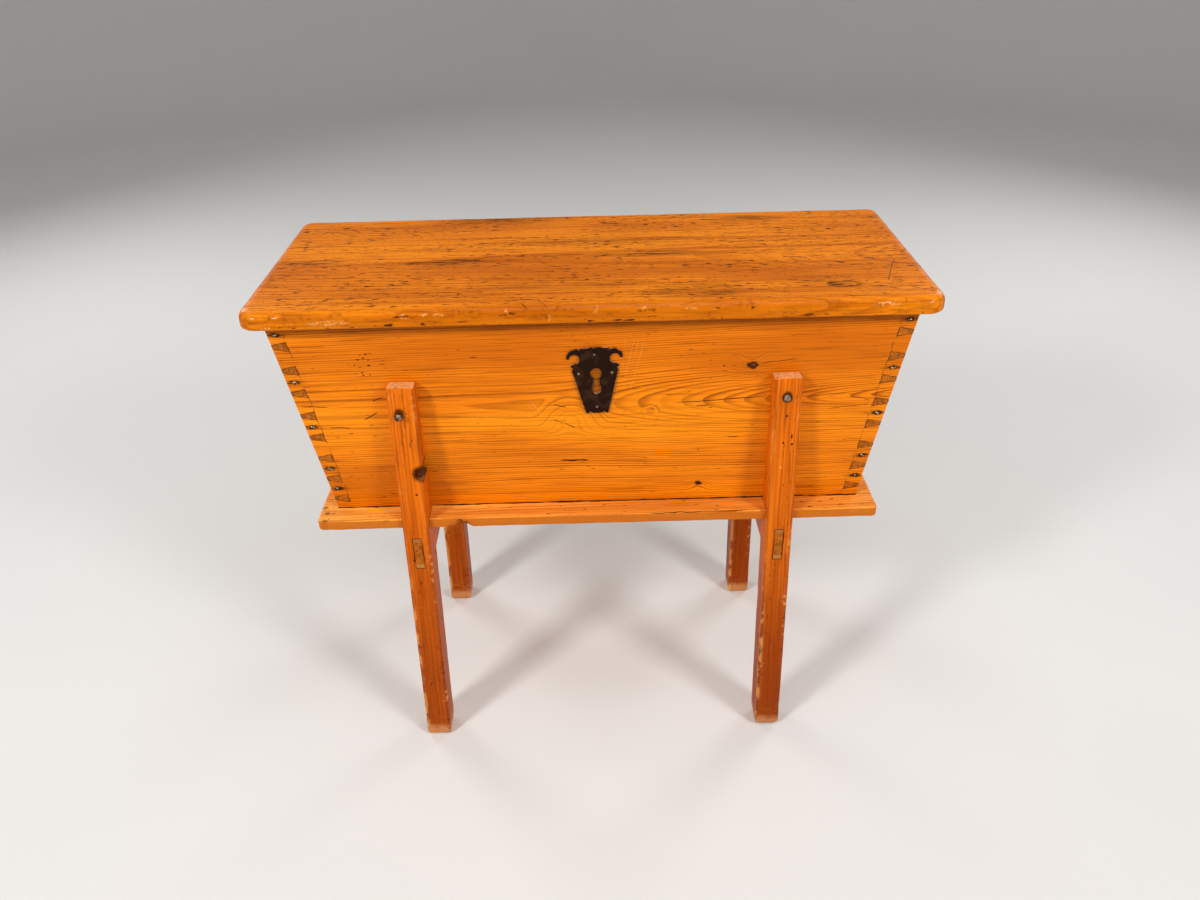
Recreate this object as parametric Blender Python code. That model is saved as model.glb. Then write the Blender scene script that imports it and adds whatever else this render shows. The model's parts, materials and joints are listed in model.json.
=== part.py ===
"""Dough box on a splayed four-leg stand, built from its separate pieces.

Units are metres and +Z is up. The length runs along X and the front faces -Y.
The box boards lean outward, so most pieces are drawn from the two functions
half_length and half_depth, which give the outside of the box at any height.
"""
import math

import bmesh
import bpy
from mathutils import Matrix, Vector

# Overall sizes
OVERALL_HEIGHT = 0.800
CLEARANCE = 0.0003

# Lid
LID_THICKNESS = 0.0245
LID_END_OVERHANG = 0.0264
LID_FRONT_OVERHANG = 0.029
LID_FRONT_CORNER = 0.027
LID_BACK_CORNER = 0.019
LID_ROUNDOVER = 0.0125
LID_LOWER_ARRIS = 0.002

# Box boards
BASE_TOP = 0.449
BOX_FLOOR_LENGTH = 0.810
BOX_FLOOR_DEPTH = 0.284
END_SPLAY = 0.048
FRONT_SPLAY = 0.023
BOARD_THICKNESS = 0.022

# Through dovetails
PIN_COUNT = 8
FIRST_PIN_RISE = 0.0185
PIN_NARROW = 0.0062
PIN_WIDE = 0.016

# Base board
BASE_THICKNESS = 0.017
BASE_FRONT_PROJECTION = 0.037
BASE_END_PROJECTION = 0.0265
BASE_CORNER = 0.009
BASE_ARRIS = 0.0025
CHIP_LENGTH = 0.033
CHIP_RISE = 0.0148
CHIP_DEPTH = 0.012
CHIP_FROM_LEG = 0.049

# Legs
LEG_WIDTH = 0.0405
LEG_TOP_HEIGHT = 0.677
LEG_TOP_DEPTH = 0.0215
LEG_TOP_INSET = 0.130
LEG_FOOT_INSET = 0.1175
LEG_RAKE = 0.023
LEG_ARRIS = 0.0022
NOTCH_HEIGHT = 0.535
NOTCH_RADIUS = 0.0115
NOTCH_INSET = 0.0020

# Cross rails, their through tenons and the wedges
RAIL_THICKNESS = 0.028
RAIL_HEIGHT = 0.080
TENON_BAND_DROP = 0.0135
TENON_HEIGHT = 0.040
TENON_THICKNESS = 0.013
WEDGE_THICKNESS = 0.0075
WEDGE_POINT = 0.0015
WEDGE_SHORT = 0.008

# Lock plate
PLATE_HEIGHT = 0.1095
PLATE_THICKNESS = 0.0025
PLATE_DROP = 0.0505
PLATE_OFFSET = 0.0020
PLATE_TILT = math.radians(1.4)
PLATE_SHOULDER_HALF = 0.0330
PLATE_SHOULDER_DROP = 0.0380
PLATE_FOOT_HALF = 0.0160
HOOK_RADIUS = 0.0074
HOOK_HALF = 0.0289
HOOK_DROP = 0.0176
HORN_TIP = 0.0034
HORN_ROOT = 0.0092
KEYHOLE_OFFSET = 0.0009
KEYHOLE_TOP_RADIUS = 0.0080
KEYHOLE_FOOT_RADIUS = 0.0064
KEYHOLE_WAIST = 0.0084
KEYHOLE_TOP_DROP = 0.0415
KEYHOLE_FOOT_DROP = 0.0668
KEYHOLE_FOOT_STRETCH = 1.38

# Hinges at the back of the lid
HINGE_FROM_LEG = 0.012
HINGE_LENGTH = 0.075
LEAF_WIDTH = 0.020
LEAF_THICKNESS = 0.002
BARREL_RADIUS = 0.0045

# Fasteners
NAIL_HEAD = 0.0052
NAIL_SHANK = 0.0030
CORNER_NAIL_LENGTH = 0.045
BASE_NAIL_LENGTH = 0.040
BASE_NAIL_PARTS = (-0.41, 0.0, 0.41)
PLATE_NAIL_HEAD = 0.0054
PLATE_NAIL_LENGTH = 0.018
PLATE_NAIL_TOP_DROP = 0.0097
PLATE_NAIL_SIDE_DROP = 0.0403
PLATE_NAIL_SIDE_HALF = 0.0238
PLATE_NAIL_FOOT_RISE = 0.0118
LEG_SCREW_DROP = 0.036
LEG_SCREW_HEAD = 0.0120
LEG_SCREW_SHANK = 0.0060
LEG_SCREW_BITE = 0.017
HINGE_SCREW_LENGTH = 0.016
NAILED_TAILS = (0, 1, 3, 5, 7)

# Each leg screw: shift along X, shift in height, how far its head stands out
LEG_SCREWS = {
    "front_left": (-0.0048, -0.0060, 0.0070),
    "front_right": (-0.0006, 0.0060, 0.0),
    "rear_left": (0.0, 0.0, 0.0),
    "rear_right": (0.0, 0.0, 0.0),
}

# Heights that follow from the sizes above
LID_BOTTOM = OVERALL_HEIGHT - LID_THICKNESS
RIM = LID_BOTTOM - CLEARANCE
BOX_FLOOR = BASE_TOP + CLEARANCE
BASE_BOTTOM = BASE_TOP - BASE_THICKNESS
RAIL_TOP = BASE_BOTTOM - CLEARANCE
TENON_TOP = BASE_BOTTOM - TENON_BAND_DROP - WEDGE_THICKNESS
TENON_FOOT = TENON_TOP - TENON_HEIGHT
TENON_MIDDLE = (TENON_TOP + TENON_FOOT) / 2
END_LEAN = END_SPLAY / (RIM - BASE_TOP)
FRONT_LEAN = FRONT_SPLAY / (RIM - BASE_TOP)
FRONT_ANGLE = math.atan(FRONT_LEAN)


def half_length(z):
    """Half the outside length of the box at height z."""
    return BOX_FLOOR_LENGTH / 2 + END_LEAN * (z - BASE_TOP)


def half_depth(z):
    """Half the outside depth of the box at height z."""
    return BOX_FLOOR_DEPTH / 2 + FRONT_LEAN * (z - BASE_TOP)


def leg_centre(z):
    """Distance of a leg's centre line from the middle of the box at height z."""
    fall = (LEG_TOP_HEIGHT - z) / LEG_TOP_HEIGHT
    inset = LEG_TOP_INSET + (LEG_FOOT_INSET - LEG_TOP_INSET) * fall
    return BOX_FLOOR_LENGTH / 2 - inset


def leg_outside(z):
    """Distance of a leg's outer face from the middle plane at height z."""
    top = half_depth(LEG_TOP_HEIGHT) + CLEARANCE + LEG_TOP_DEPTH
    return top + LEG_RAKE * (LEG_TOP_HEIGHT - z) / LEG_TOP_HEIGHT


LEG_DEPTH = leg_outside(BASE_TOP) - half_depth(BASE_TOP) - CLEARANCE


def leg_inside(z):
    """Distance of a leg's inner face from the middle plane, below the base top."""
    return leg_outside(z) - LEG_DEPTH


def pin_centres():
    """Heights of the whole pins from the base up; the rim takes a half pin."""
    first = BASE_TOP + FIRST_PIN_RISE
    pitch = (RIM - first) / PIN_COUNT
    return [first + pitch * number for number in range(PIN_COUNT)]


def tail_centre(number):
    """Height of the middle of the tail above the pin with this number."""
    centres = pin_centres() + [RIM]
    return (centres[number] + centres[number + 1]) / 2


def clear_scene():
    """Start from an empty file."""
    for item in list(bpy.data.objects):
        bpy.data.objects.remove(item, do_unlink=True)


def make_material(name, colour, roughness, metallic):
    """One plain surface for a family of pieces."""
    material = bpy.data.materials.new(name)
    material.use_nodes = True
    shader = material.node_tree.nodes["Principled BSDF"]
    shader.inputs["Base Color"].default_value = (*colour, 1.0)
    shader.inputs["Roughness"].default_value = roughness
    shader.inputs["Metallic"].default_value = metallic
    return material


def stack(mesh, rings):
    """Close the space between a row of loops that have equal point counts."""
    rows = [[mesh.verts.new(point) for point in ring] for ring in rings]
    mesh.faces.new(rows[0])
    mesh.faces.new(rows[-1][::-1])
    for lower, upper in zip(rows, rows[1:]):
        for index in range(len(lower)):
            after = (index + 1) % len(lower)
            mesh.faces.new((lower[after], lower[index], upper[index], upper[after]))


def turned(mesh, start, axis, profile, sides, turn=0.0):
    """A body of regular sections; profile holds (radius, distance along axis)."""
    frame = Vector(axis).to_track_quat("Z", "Y").to_matrix()
    rings = []
    for radius, along in profile:
        ring = []
        for index in range(sides):
            angle = turn + 2 * math.pi * index / sides
            local = Vector((radius * math.cos(angle), radius * math.sin(angle), along))
            ring.append(Vector(start) + frame @ local)
        rings.append(ring)
    stack(mesh, rings)


def soften(mesh, width, segments, least_angle=0.5):
    """Round every edge that turns by more than least_angle."""
    bmesh.ops.recalc_face_normals(mesh, faces=mesh.faces)
    edges = [edge for edge in mesh.edges if edge.calc_face_angle(0.0) > least_angle]
    bmesh.ops.bevel(mesh, geom=edges, offset=width, offset_type="OFFSET", segments=segments,
                    profile=0.5, affect="EDGES", clamp_overlap=True)


def finish(name, mesh, material=None, smooth=False):
    """Turn a bmesh into a named object."""
    bmesh.ops.recalc_face_normals(mesh, faces=mesh.faces)
    data = bpy.data.meshes.new(name)
    mesh.to_mesh(data)
    mesh.free()
    if smooth:
        data.shade_smooth()
        data.set_sharp_from_angle(angle=0.6)
    item = bpy.data.objects.new(name, data)
    bpy.context.collection.objects.link(item)
    if material:
        data.materials.append(material)
    return item


def cutter(name, mesh):
    """A hidden shape that is only used to cut other pieces."""
    item = finish(name, mesh)
    item.display_type = "WIRE"
    item.hide_render = True
    return item


def cut(item, *tools):
    """Take the cutters away from a piece."""
    for tool in tools:
        step = item.modifiers.new("cut " + tool.name, "BOOLEAN")
        step.operation = "DIFFERENCE"
        step.solver = "EXACT"
        step.object = tool


def rounded_loop(half_x, half_y, front_radius, back_radius, z, steps=5):
    """A rectangle with rounded corners, counter-clockwise from the front right."""
    corners = (
        (half_x - front_radius, front_radius - half_y, front_radius, -0.5 * math.pi),
        (half_x - back_radius, half_y - back_radius, back_radius, 0.0),
        (back_radius - half_x, half_y - back_radius, back_radius, 0.5 * math.pi),
        (front_radius - half_x, front_radius - half_y, front_radius, math.pi),
    )
    loop = []
    for x, y, radius, start in corners:
        for step in range(steps + 1):
            angle = start + 0.5 * math.pi * step / steps
            loop.append((x + radius * math.cos(angle), y + radius * math.sin(angle), z))
    return loop


def board_rings(half_x, half_y, front_radius, back_radius, bottom, top, lower, upper, steps):
    """Loops of a flat board whose lower and upper edges are rounded over."""
    heights = []
    for step in range(steps + 1):
        angle = 0.5 * math.pi * step / steps
        heights.append((lower * (1 - math.sin(angle)), bottom + lower * (1 - math.cos(angle))))
    for step in range(steps + 1):
        angle = 0.5 * math.pi * step / steps
        heights.append((upper * (1 - math.cos(angle)), top - upper * (1 - math.sin(angle))))
    return [rounded_loop(half_x - inset, half_y - inset, front_radius - inset, back_radius - inset, z)
            for inset, z in heights]


def nail_profile(length, grow=0.0):
    """A square nail from its head to its point, or its hole when grown."""
    half_diagonal = math.sqrt(0.5)
    head = NAIL_HEAD * half_diagonal + grow
    shank = NAIL_SHANK * half_diagonal + grow
    point = shank * 0.5 + grow * 0.5
    return ((head * 0.8, -0.0003 - grow), (head, 0.0001 - grow), (head, 0.0010 + grow),
            (shank, 0.0018 + grow), (shank, length * 0.7), (point, length + grow))


def round_nail_profile(length, grow=0.0):
    """A small nail with a low domed head that lies on the lock plate."""
    head = PLATE_NAIL_HEAD / 2 + grow
    shank = NAIL_SHANK / 2 + grow
    seat = -CLEARANCE - grow * 0.5
    return ((head * 0.5, -0.0014), (head * 0.88, -0.0010), (head, seat - 0.0002), (head, seat),
            (shank, seat + 0.0001), (shank, length * 0.7), (shank * 0.5, length + grow))


def sunk_screw_profile(length, grow=0.0):
    """A countersunk wood screw from its flat head to its point."""
    return ((0.0034 + grow, -grow), (0.0017 + grow, LEAF_THICKNESS + grow),
            (0.0017 + grow, length * 0.75), (0.0007 + grow, length + grow))


def leg_screw_profile(length, grow=0.0):
    """A round-head screw; the distance is measured from under the head."""
    head = LEG_SCREW_HEAD / 2 + grow
    shank = LEG_SCREW_SHANK / 2 + grow
    return ((head * 0.45, -0.0036 - grow), (head * 0.85, -0.0026 - grow), (head, -0.0010 - grow),
            (head, grow), (shank, grow * 2 + 0.0001), (shank, length * 0.8), (shank * 0.5, length + grow))


def fasteners(places, profile, sides, length, material, hole_name):
    """Equal fasteners that share one mesh, and one cutter for all their holes.

    Each place is a name with a start point and a direction.
    """
    turn = math.pi / sides
    body = bmesh.new()
    turned(body, (0.0, 0.0, 0.0), (0.0, 0.0, 1.0), profile(length), sides, turn)
    holes = bmesh.new()
    items = []
    for name, (start, axis) in places.items():
        if items:
            item = bpy.data.objects.new(name, items[0].data)
            bpy.context.collection.objects.link(item)
        else:
            item = finish(name, body, material, smooth=sides > 4)
        item.location = start
        item.rotation_mode = "QUATERNION"
        item.rotation_quaternion = Vector(axis).to_track_quat("Z", "Y")
        items.append(item)
        turned(holes, start, axis, profile(length, CLEARANCE), sides, turn)
    return items, cutter(hole_name, holes)


def tail_board(name, facing, material):
    """Front or back board; its ends are cut into tails around the pin sockets."""
    narrow = PIN_NARROW / 2 + CLEARANCE
    wide = PIN_WIDE / 2 + CLEARANCE

    def root(z):
        return half_length(z) - BOARD_THICKNESS - CLEARANCE

    edge = [(half_length(BOX_FLOOR), BOX_FLOOR)]
    for centre in pin_centres():
        edge.append((half_length(centre - narrow), centre - narrow))
        edge.append((root(centre - wide), centre - wide))
        edge.append((root(centre + wide), centre + wide))
        edge.append((half_length(centre + narrow), centre + narrow))
    edge.append((half_length(RIM - narrow), RIM - narrow))
    edge.append((root(RIM - wide), RIM - wide))
    edge.append((root(RIM), RIM))
    outline = edge + [(-x, z) for x, z in reversed(edge)]
    outer = [(x, facing * half_depth(z), z) for x, z in outline]
    inner = [(x, facing * (half_depth(z) - BOARD_THICKNESS), z) for x, z in outline]
    mesh = bmesh.new()
    stack(mesh, (outer, inner))
    return finish(name, mesh, material)


def pin_outline(half_pin):
    """Edge of an end board as (y, z) points, with pins of this half height."""
    def core(z):
        return half_depth(z) - BOARD_THICKNESS - CLEARANCE

    edge = [(core(BOX_FLOOR), BOX_FLOOR)]
    for centre in pin_centres():
        low = centre - half_pin
        high = centre + half_pin
        edge += [(core(low), low), (half_depth(low), low), (half_depth(high), high), (core(high), high)]
    low = RIM - half_pin
    edge += [(core(low), low), (half_depth(low), low), (half_depth(RIM), RIM)]
    return edge + [(-y, z) for y, z in reversed(edge)]


def pin_board(name, side, material):
    """End board; its pins are narrow on the outside and wide on the inside."""
    outer = [(side * half_length(z), y, z) for y, z in pin_outline(PIN_NARROW / 2)]
    inner = [(side * (half_length(z) - BOARD_THICKNESS), y, z) for y, z in pin_outline(PIN_WIDE / 2)]
    mesh = bmesh.new()
    stack(mesh, (outer, inner))
    return finish(name, mesh, material)


def corner_nails(place, side, facing, material):
    """Nails through chosen tails of one corner, into the end board."""
    places = {}
    for order, number in enumerate([tail for tail in NAILED_TAILS if tail < PIN_COUNT]):
        z = tail_centre(number)
        x = side * (half_length(z) - BOARD_THICKNESS / 2)
        name = "%s_corner_nail_%d" % (place, order + 1)
        places[name] = ((x, facing * half_depth(z), z), (0.0, -facing, 0.0))
    return fasteners(places, nail_profile, 4, CORNER_NAIL_LENGTH, material, place + "_nail_holes")


def base_nails(material):
    """Nails from below through the base into the front and back boards."""
    places = {}
    y = half_depth(BASE_TOP) - BOARD_THICKNESS / 2
    for facing, row in ((-1, "front"), (1, "rear")):
        for order, part in enumerate(BASE_NAIL_PARTS):
            start = (part * BOX_FLOOR_LENGTH, facing * y, BASE_BOTTOM)
            places["%s_base_nail_%d" % (row, order + 1)] = (start, (0.0, 0.0, 1.0))
    return fasteners(places, nail_profile, 4, BASE_NAIL_LENGTH, material, "base_nail_holes")


def leg_notch_cutter():
    """The four places where the base board is cut out for the legs."""
    mesh = bmesh.new()
    margin = BASE_THICKNESS
    for side in (-1, 1):
        for facing in (-1, 1):
            rings = []
            for z in (BASE_BOTTOM - margin, BASE_TOP + margin):
                half = LEG_WIDTH / 2 + CLEARANCE
                x = side * leg_centre(z)
                inside = facing * (leg_inside(z) - CLEARANCE)
                outside = facing * (leg_outside(z) + BASE_FRONT_PROJECTION)
                rings.append([(x - half, inside, z), (x + half, inside, z),
                              (x + half, outside, z), (x - half, outside, z)])
            stack(mesh, rings)
    return cutter("leg_notches", mesh)


def chip_cutter():
    """A broken place under the front edge of the base, beside the left leg."""
    mesh = bmesh.new()
    x = -leg_centre(BASE_TOP) + LEG_WIDTH / 2 + CHIP_FROM_LEG
    y = -(BOX_FLOOR_DEPTH / 2 + BASE_FRONT_PROJECTION)
    bmesh.ops.create_uvsphere(mesh, u_segments=12, v_segments=8, radius=1.0)
    scale = Matrix.Diagonal((CHIP_LENGTH / 2, CHIP_DEPTH, CHIP_RISE, 1.0))
    bmesh.ops.transform(mesh, matrix=Matrix.Translation((x, y, BASE_BOTTOM)) @ scale, verts=mesh.verts)
    return cutter("base_chip", mesh)


def base_board(material):
    """The floor of the box, which projects at the front, back and ends."""
    mesh = bmesh.new()
    stack(mesh, board_rings(BOX_FLOOR_LENGTH / 2 + BASE_END_PROJECTION,
                            BOX_FLOOR_DEPTH / 2 + BASE_FRONT_PROJECTION,
                            BASE_CORNER, BASE_CORNER, BASE_BOTTOM, BASE_TOP, BASE_ARRIS, BASE_ARRIS, 2))
    return finish("base_board", mesh, material)


def leg(name, side, facing, material):
    """A square leg; above the base its inner face follows the leaning box."""
    outline = [
        (leg_outside(0.0), 0.0),
        (leg_inside(0.0), 0.0),
        (leg_inside(BASE_TOP), BASE_TOP),
        (half_depth(LEG_TOP_HEIGHT) + CLEARANCE, LEG_TOP_HEIGHT),
        (leg_outside(LEG_TOP_HEIGHT), LEG_TOP_HEIGHT),
    ]
    loops = []
    for shift in (-LEG_WIDTH / 2, LEG_WIDTH / 2):
        loops.append([(side * leg_centre(z) + shift, facing * y, z) for y, z in outline])
    mesh = bmesh.new()
    stack(mesh, loops)
    soften(mesh, LEG_ARRIS, 2)
    return finish(name, mesh, material)


def leg_notch(side, facing):
    """A round hole broken out through the inner edge of a leg."""
    mesh = bmesh.new()
    x = side * (leg_centre(NOTCH_HEIGHT) - LEG_WIDTH / 2 + NOTCH_INSET)
    start = (x, facing * (leg_outside(NOTCH_HEIGHT) + NOTCH_RADIUS), NOTCH_HEIGHT)
    reach = LEG_DEPTH + 2 * NOTCH_RADIUS
    turned(mesh, start, (0.0, -facing, 0.0), ((NOTCH_RADIUS, 0.0), (NOTCH_RADIUS, reach)), 20)
    return cutter("front_left_leg_notch", mesh)


def leg_screw(place, side, facing, material):
    """One round-head screw near the top of a leg, and the cutter for its hole."""
    shift, rise, proud = LEG_SCREWS[place]
    z = LEG_TOP_HEIGHT - LEG_SCREW_DROP + rise
    x = side * leg_centre(z) + shift
    seat = leg_outside(z) + proud + CLEARANCE
    length = seat - half_depth(z) + LEG_SCREW_BITE
    start = (x, facing * seat, z)
    places = {place + "_leg_screw": (start, (0.0, -facing, 0.0))}
    return fasteners(places, leg_screw_profile, 12, length, material, place + "_leg_screw_hole")


def rail_centre():
    """Distance of a cross rail from the middle of the box."""
    return leg_centre(TENON_MIDDLE)


def cross_rail(name, side, material):
    """A rail from the front leg to the rear leg with a tenon at each end."""
    mesh = bmesh.new()
    x = side * rail_centre()
    body = (x - RAIL_THICKNESS / 2, x + RAIL_THICKNESS / 2, RAIL_TOP - RAIL_HEIGHT, RAIL_TOP)
    tongue = (x - TENON_THICKNESS / 2, x + TENON_THICKNESS / 2, TENON_FOOT, TENON_TOP)

    def section(limits, facing, reach):
        left, right, low, high = limits
        return [mesh.verts.new((px, facing * reach(pz), pz))
                for px, pz in ((left, low), (right, low), (right, high), (left, high))]

    def shoulder(z):
        return leg_inside(z) - CLEARANCE

    rows = [section(tongue, -1, leg_outside), section(tongue, -1, shoulder), section(body, -1, shoulder),
            section(body, 1, shoulder), section(tongue, 1, shoulder), section(tongue, 1, leg_outside)]
    mesh.faces.new(rows[0])
    mesh.faces.new(rows[-1])
    for near, far in zip(rows, rows[1:]):
        for index in range(4):
            after = (index + 1) % 4
            mesh.faces.new((near[index], near[after], far[after], far[index]))
    return finish(name, mesh, material)


def wedge_gap(y):
    """Wedge thickness at distance y from the middle plane."""
    part = (y - leg_inside(TENON_MIDDLE)) / LEG_DEPTH
    return WEDGE_POINT + (WEDGE_THICKNESS - WEDGE_POINT) * part


def mortise_cutter(name, side, facing):
    """The mortise through a leg, flared above and below to take the wedges."""
    mesh = bmesh.new()
    half = TENON_THICKNESS / 2 + CLEARANCE
    x = side * rail_centre()
    rings = []
    for y in (leg_inside(TENON_MIDDLE) - 0.008, leg_outside(TENON_MIDDLE) + 0.008):
        flare = wedge_gap(y) + 2 * CLEARANCE
        rings.append([(x - half, facing * y, TENON_FOOT - flare), (x + half, facing * y, TENON_FOOT - flare),
                      (x + half, facing * y, TENON_TOP + flare), (x - half, facing * y, TENON_TOP + flare)])
    stack(mesh, rings)
    return cutter(name, mesh)


def wedge(name, side, facing, away, material):
    """A wedge driven in above or below a tenon, flush with the leg's outer face."""
    mesh = bmesh.new()
    x = side * rail_centre()
    half = TENON_THICKNESS / 2
    near = TENON_TOP + CLEARANCE if away > 0 else TENON_FOOT - CLEARANCE
    inner = leg_inside(near) + WEDGE_SHORT
    inner_edge = near + away * wedge_gap(inner)
    outer_edge = near + away * wedge_gap(leg_outside(near))
    loops = []
    for px in (x - half, x + half):
        loops.append([(px, facing * inner, near), (px, facing * leg_outside(near), near),
                      (px, facing * leg_outside(outer_edge), outer_edge), (px, facing * inner, inner_edge)])
    stack(mesh, loops)
    return finish(name, mesh, material)


def lid(material):
    """The lid board with a rounded-over upper edge."""
    mesh = bmesh.new()
    stack(mesh, board_rings(half_length(RIM) + LID_END_OVERHANG, half_depth(RIM) + LID_FRONT_OVERHANG,
                            LID_FRONT_CORNER, LID_BACK_CORNER, LID_BOTTOM, OVERALL_HEIGHT,
                            LID_LOWER_ARRIS, LID_ROUNDOVER, 4))
    return finish("lid", mesh, material)


def plate_point(x, drop, out):
    """A point on the lock plate: along X, down from its top edge, out from the board."""
    top = RIM - PLATE_DROP
    cos = math.cos(FRONT_ANGLE)
    sin = math.sin(FRONT_ANGLE)
    lift = out + CLEARANCE
    from_middle = drop - PLATE_HEIGHT / 2
    across = x * math.cos(PLATE_TILT) + from_middle * math.sin(PLATE_TILT)
    down = PLATE_HEIGHT / 2 + from_middle * math.cos(PLATE_TILT) - x * math.sin(PLATE_TILT)
    y = -half_depth(top) + down * sin - lift * cos
    z = top - down * cos - lift * sin
    return Vector((PLATE_OFFSET + across, y, z))


def plate_half_outline():
    """Right half of the lock plate from the foot to the top, as (x, drop) points."""
    foot = PLATE_HEIGHT
    points = [(0.0, foot - 0.0008), (PLATE_FOOT_HALF * 0.34, foot - 0.0004),
              (PLATE_FOOT_HALF * 0.56, foot - 0.0022), (PLATE_FOOT_HALF * 0.63, foot - 0.0032),
              (PLATE_FOOT_HALF * 0.70, foot - 0.0020), (PLATE_FOOT_HALF * 0.84, foot),
              (PLATE_FOOT_HALF, foot - 0.0006)]
    points += [(PLATE_SHOULDER_HALF, PLATE_SHOULDER_DROP), (PLATE_SHOULDER_HALF, PLATE_SHOULDER_DROP - 0.0028),
               (PLATE_SHOULDER_HALF - 0.0013, PLATE_SHOULDER_DROP - 0.0052)]
    barb = HOOK_DROP + HOOK_RADIUS * 1.5
    points += [(PLATE_SHOULDER_HALF + 0.0022, barb), (PLATE_SHOULDER_HALF + 0.0006, barb - 0.0020)]
    for step in range(13):
        angle = math.radians(-78 - 282 * step / 12)
        points.append((HOOK_HALF + HOOK_RADIUS * math.cos(angle), HOOK_DROP - HOOK_RADIUS * math.sin(angle)))
    for step in range(8):
        part = step / 7
        angle = math.radians(4 + 108 * part)
        radius = HOOK_RADIUS + HORN_TIP + (HORN_ROOT - HORN_TIP) * part
        points.append((HOOK_HALF + radius * math.cos(angle), HOOK_DROP - radius * math.sin(angle)))
    points += [(PLATE_SHOULDER_HALF * 0.655, 0.0042), (PLATE_SHOULDER_HALF * 0.60, 0.0), (0.0, 0.0)]
    return points


def keyhole_outline():
    """A figure-eight keyhole: two rounds joined by a narrow waist."""
    rounds = ((KEYHOLE_TOP_RADIUS, KEYHOLE_TOP_DROP, 1.0, -0.5 * math.pi),
              (KEYHOLE_FOOT_RADIUS, KEYHOLE_FOOT_DROP, KEYHOLE_FOOT_STRETCH, 0.5 * math.pi))
    loop = []
    for radius, drop, stretch, start in rounds:
        spread = math.asin(KEYHOLE_WAIST / 2 / radius)
        for step in range(15):
            angle = start + spread + (2 * math.pi - 2 * spread) * step / 14
            loop.append((KEYHOLE_OFFSET + radius * math.cos(angle), drop - stretch * radius * math.sin(angle)))
    return loop


def lock_plate(material):
    """The iron plate on the front, with its keyhole cut through."""
    half = plate_half_outline()
    outline = half + [(-x, drop) for x, drop in reversed(half[1:-1])]
    mesh = bmesh.new()
    stack(mesh, [[plate_point(x, drop, out) for x, drop in outline] for out in (0.0, PLATE_THICKNESS)])
    plate = finish("lock_plate", mesh, material)
    hole = bmesh.new()
    reach = PLATE_THICKNESS
    stack(hole, [[plate_point(x, drop, out) for x, drop in keyhole_outline()] for out in (-reach, 2 * reach)])
    cut(plate, cutter("keyhole", hole))
    return plate


def plate_nails(material):
    """Four nails: top, both shoulders and foot of the lock plate."""
    inward = Vector((0.0, math.cos(FRONT_ANGLE), math.sin(FRONT_ANGLE)))
    spots = {
        "lock_plate_nail_top": (0.0, PLATE_NAIL_TOP_DROP),
        "lock_plate_nail_left": (-PLATE_NAIL_SIDE_HALF, PLATE_NAIL_SIDE_DROP),
        "lock_plate_nail_right": (PLATE_NAIL_SIDE_HALF, PLATE_NAIL_SIDE_DROP),
        "lock_plate_nail_foot": (0.0, PLATE_HEIGHT - PLATE_NAIL_FOOT_RISE),
    }
    places = {name: (plate_point(x, drop, PLATE_THICKNESS), inward) for name, (x, drop) in spots.items()}
    return fasteners(places, round_nail_profile, 8, PLATE_NAIL_LENGTH, material, "lock_plate_nail_holes")


def hinge_centre():
    """Distance of each hinge from the middle of the box, just outside the rear legs."""
    return leg_centre(LEG_TOP_HEIGHT) + LEG_WIDTH / 2 + HINGE_FROM_LEG + HINGE_LENGTH / 2


def hinge_axis():
    """Position of the hinge pins in the corner between lid and back board."""
    z = LID_BOTTOM - CLEARANCE - BARREL_RADIUS
    y = half_depth(z) + (BARREL_RADIUS + CLEARANCE) / math.cos(FRONT_ANGLE)
    return y, z


def leaf_directions(on_lid):
    """Direction along a leaf and direction towards the wood it is screwed to."""
    if on_lid:
        return Vector((0.0, 1.0, 0.0)), Vector((0.0, 0.0, 1.0))
    cos = math.cos(FRONT_ANGLE)
    sin = math.sin(FRONT_ANGLE)
    return Vector((0.0, -sin, -cos)), Vector((0.0, -cos, sin))


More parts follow.
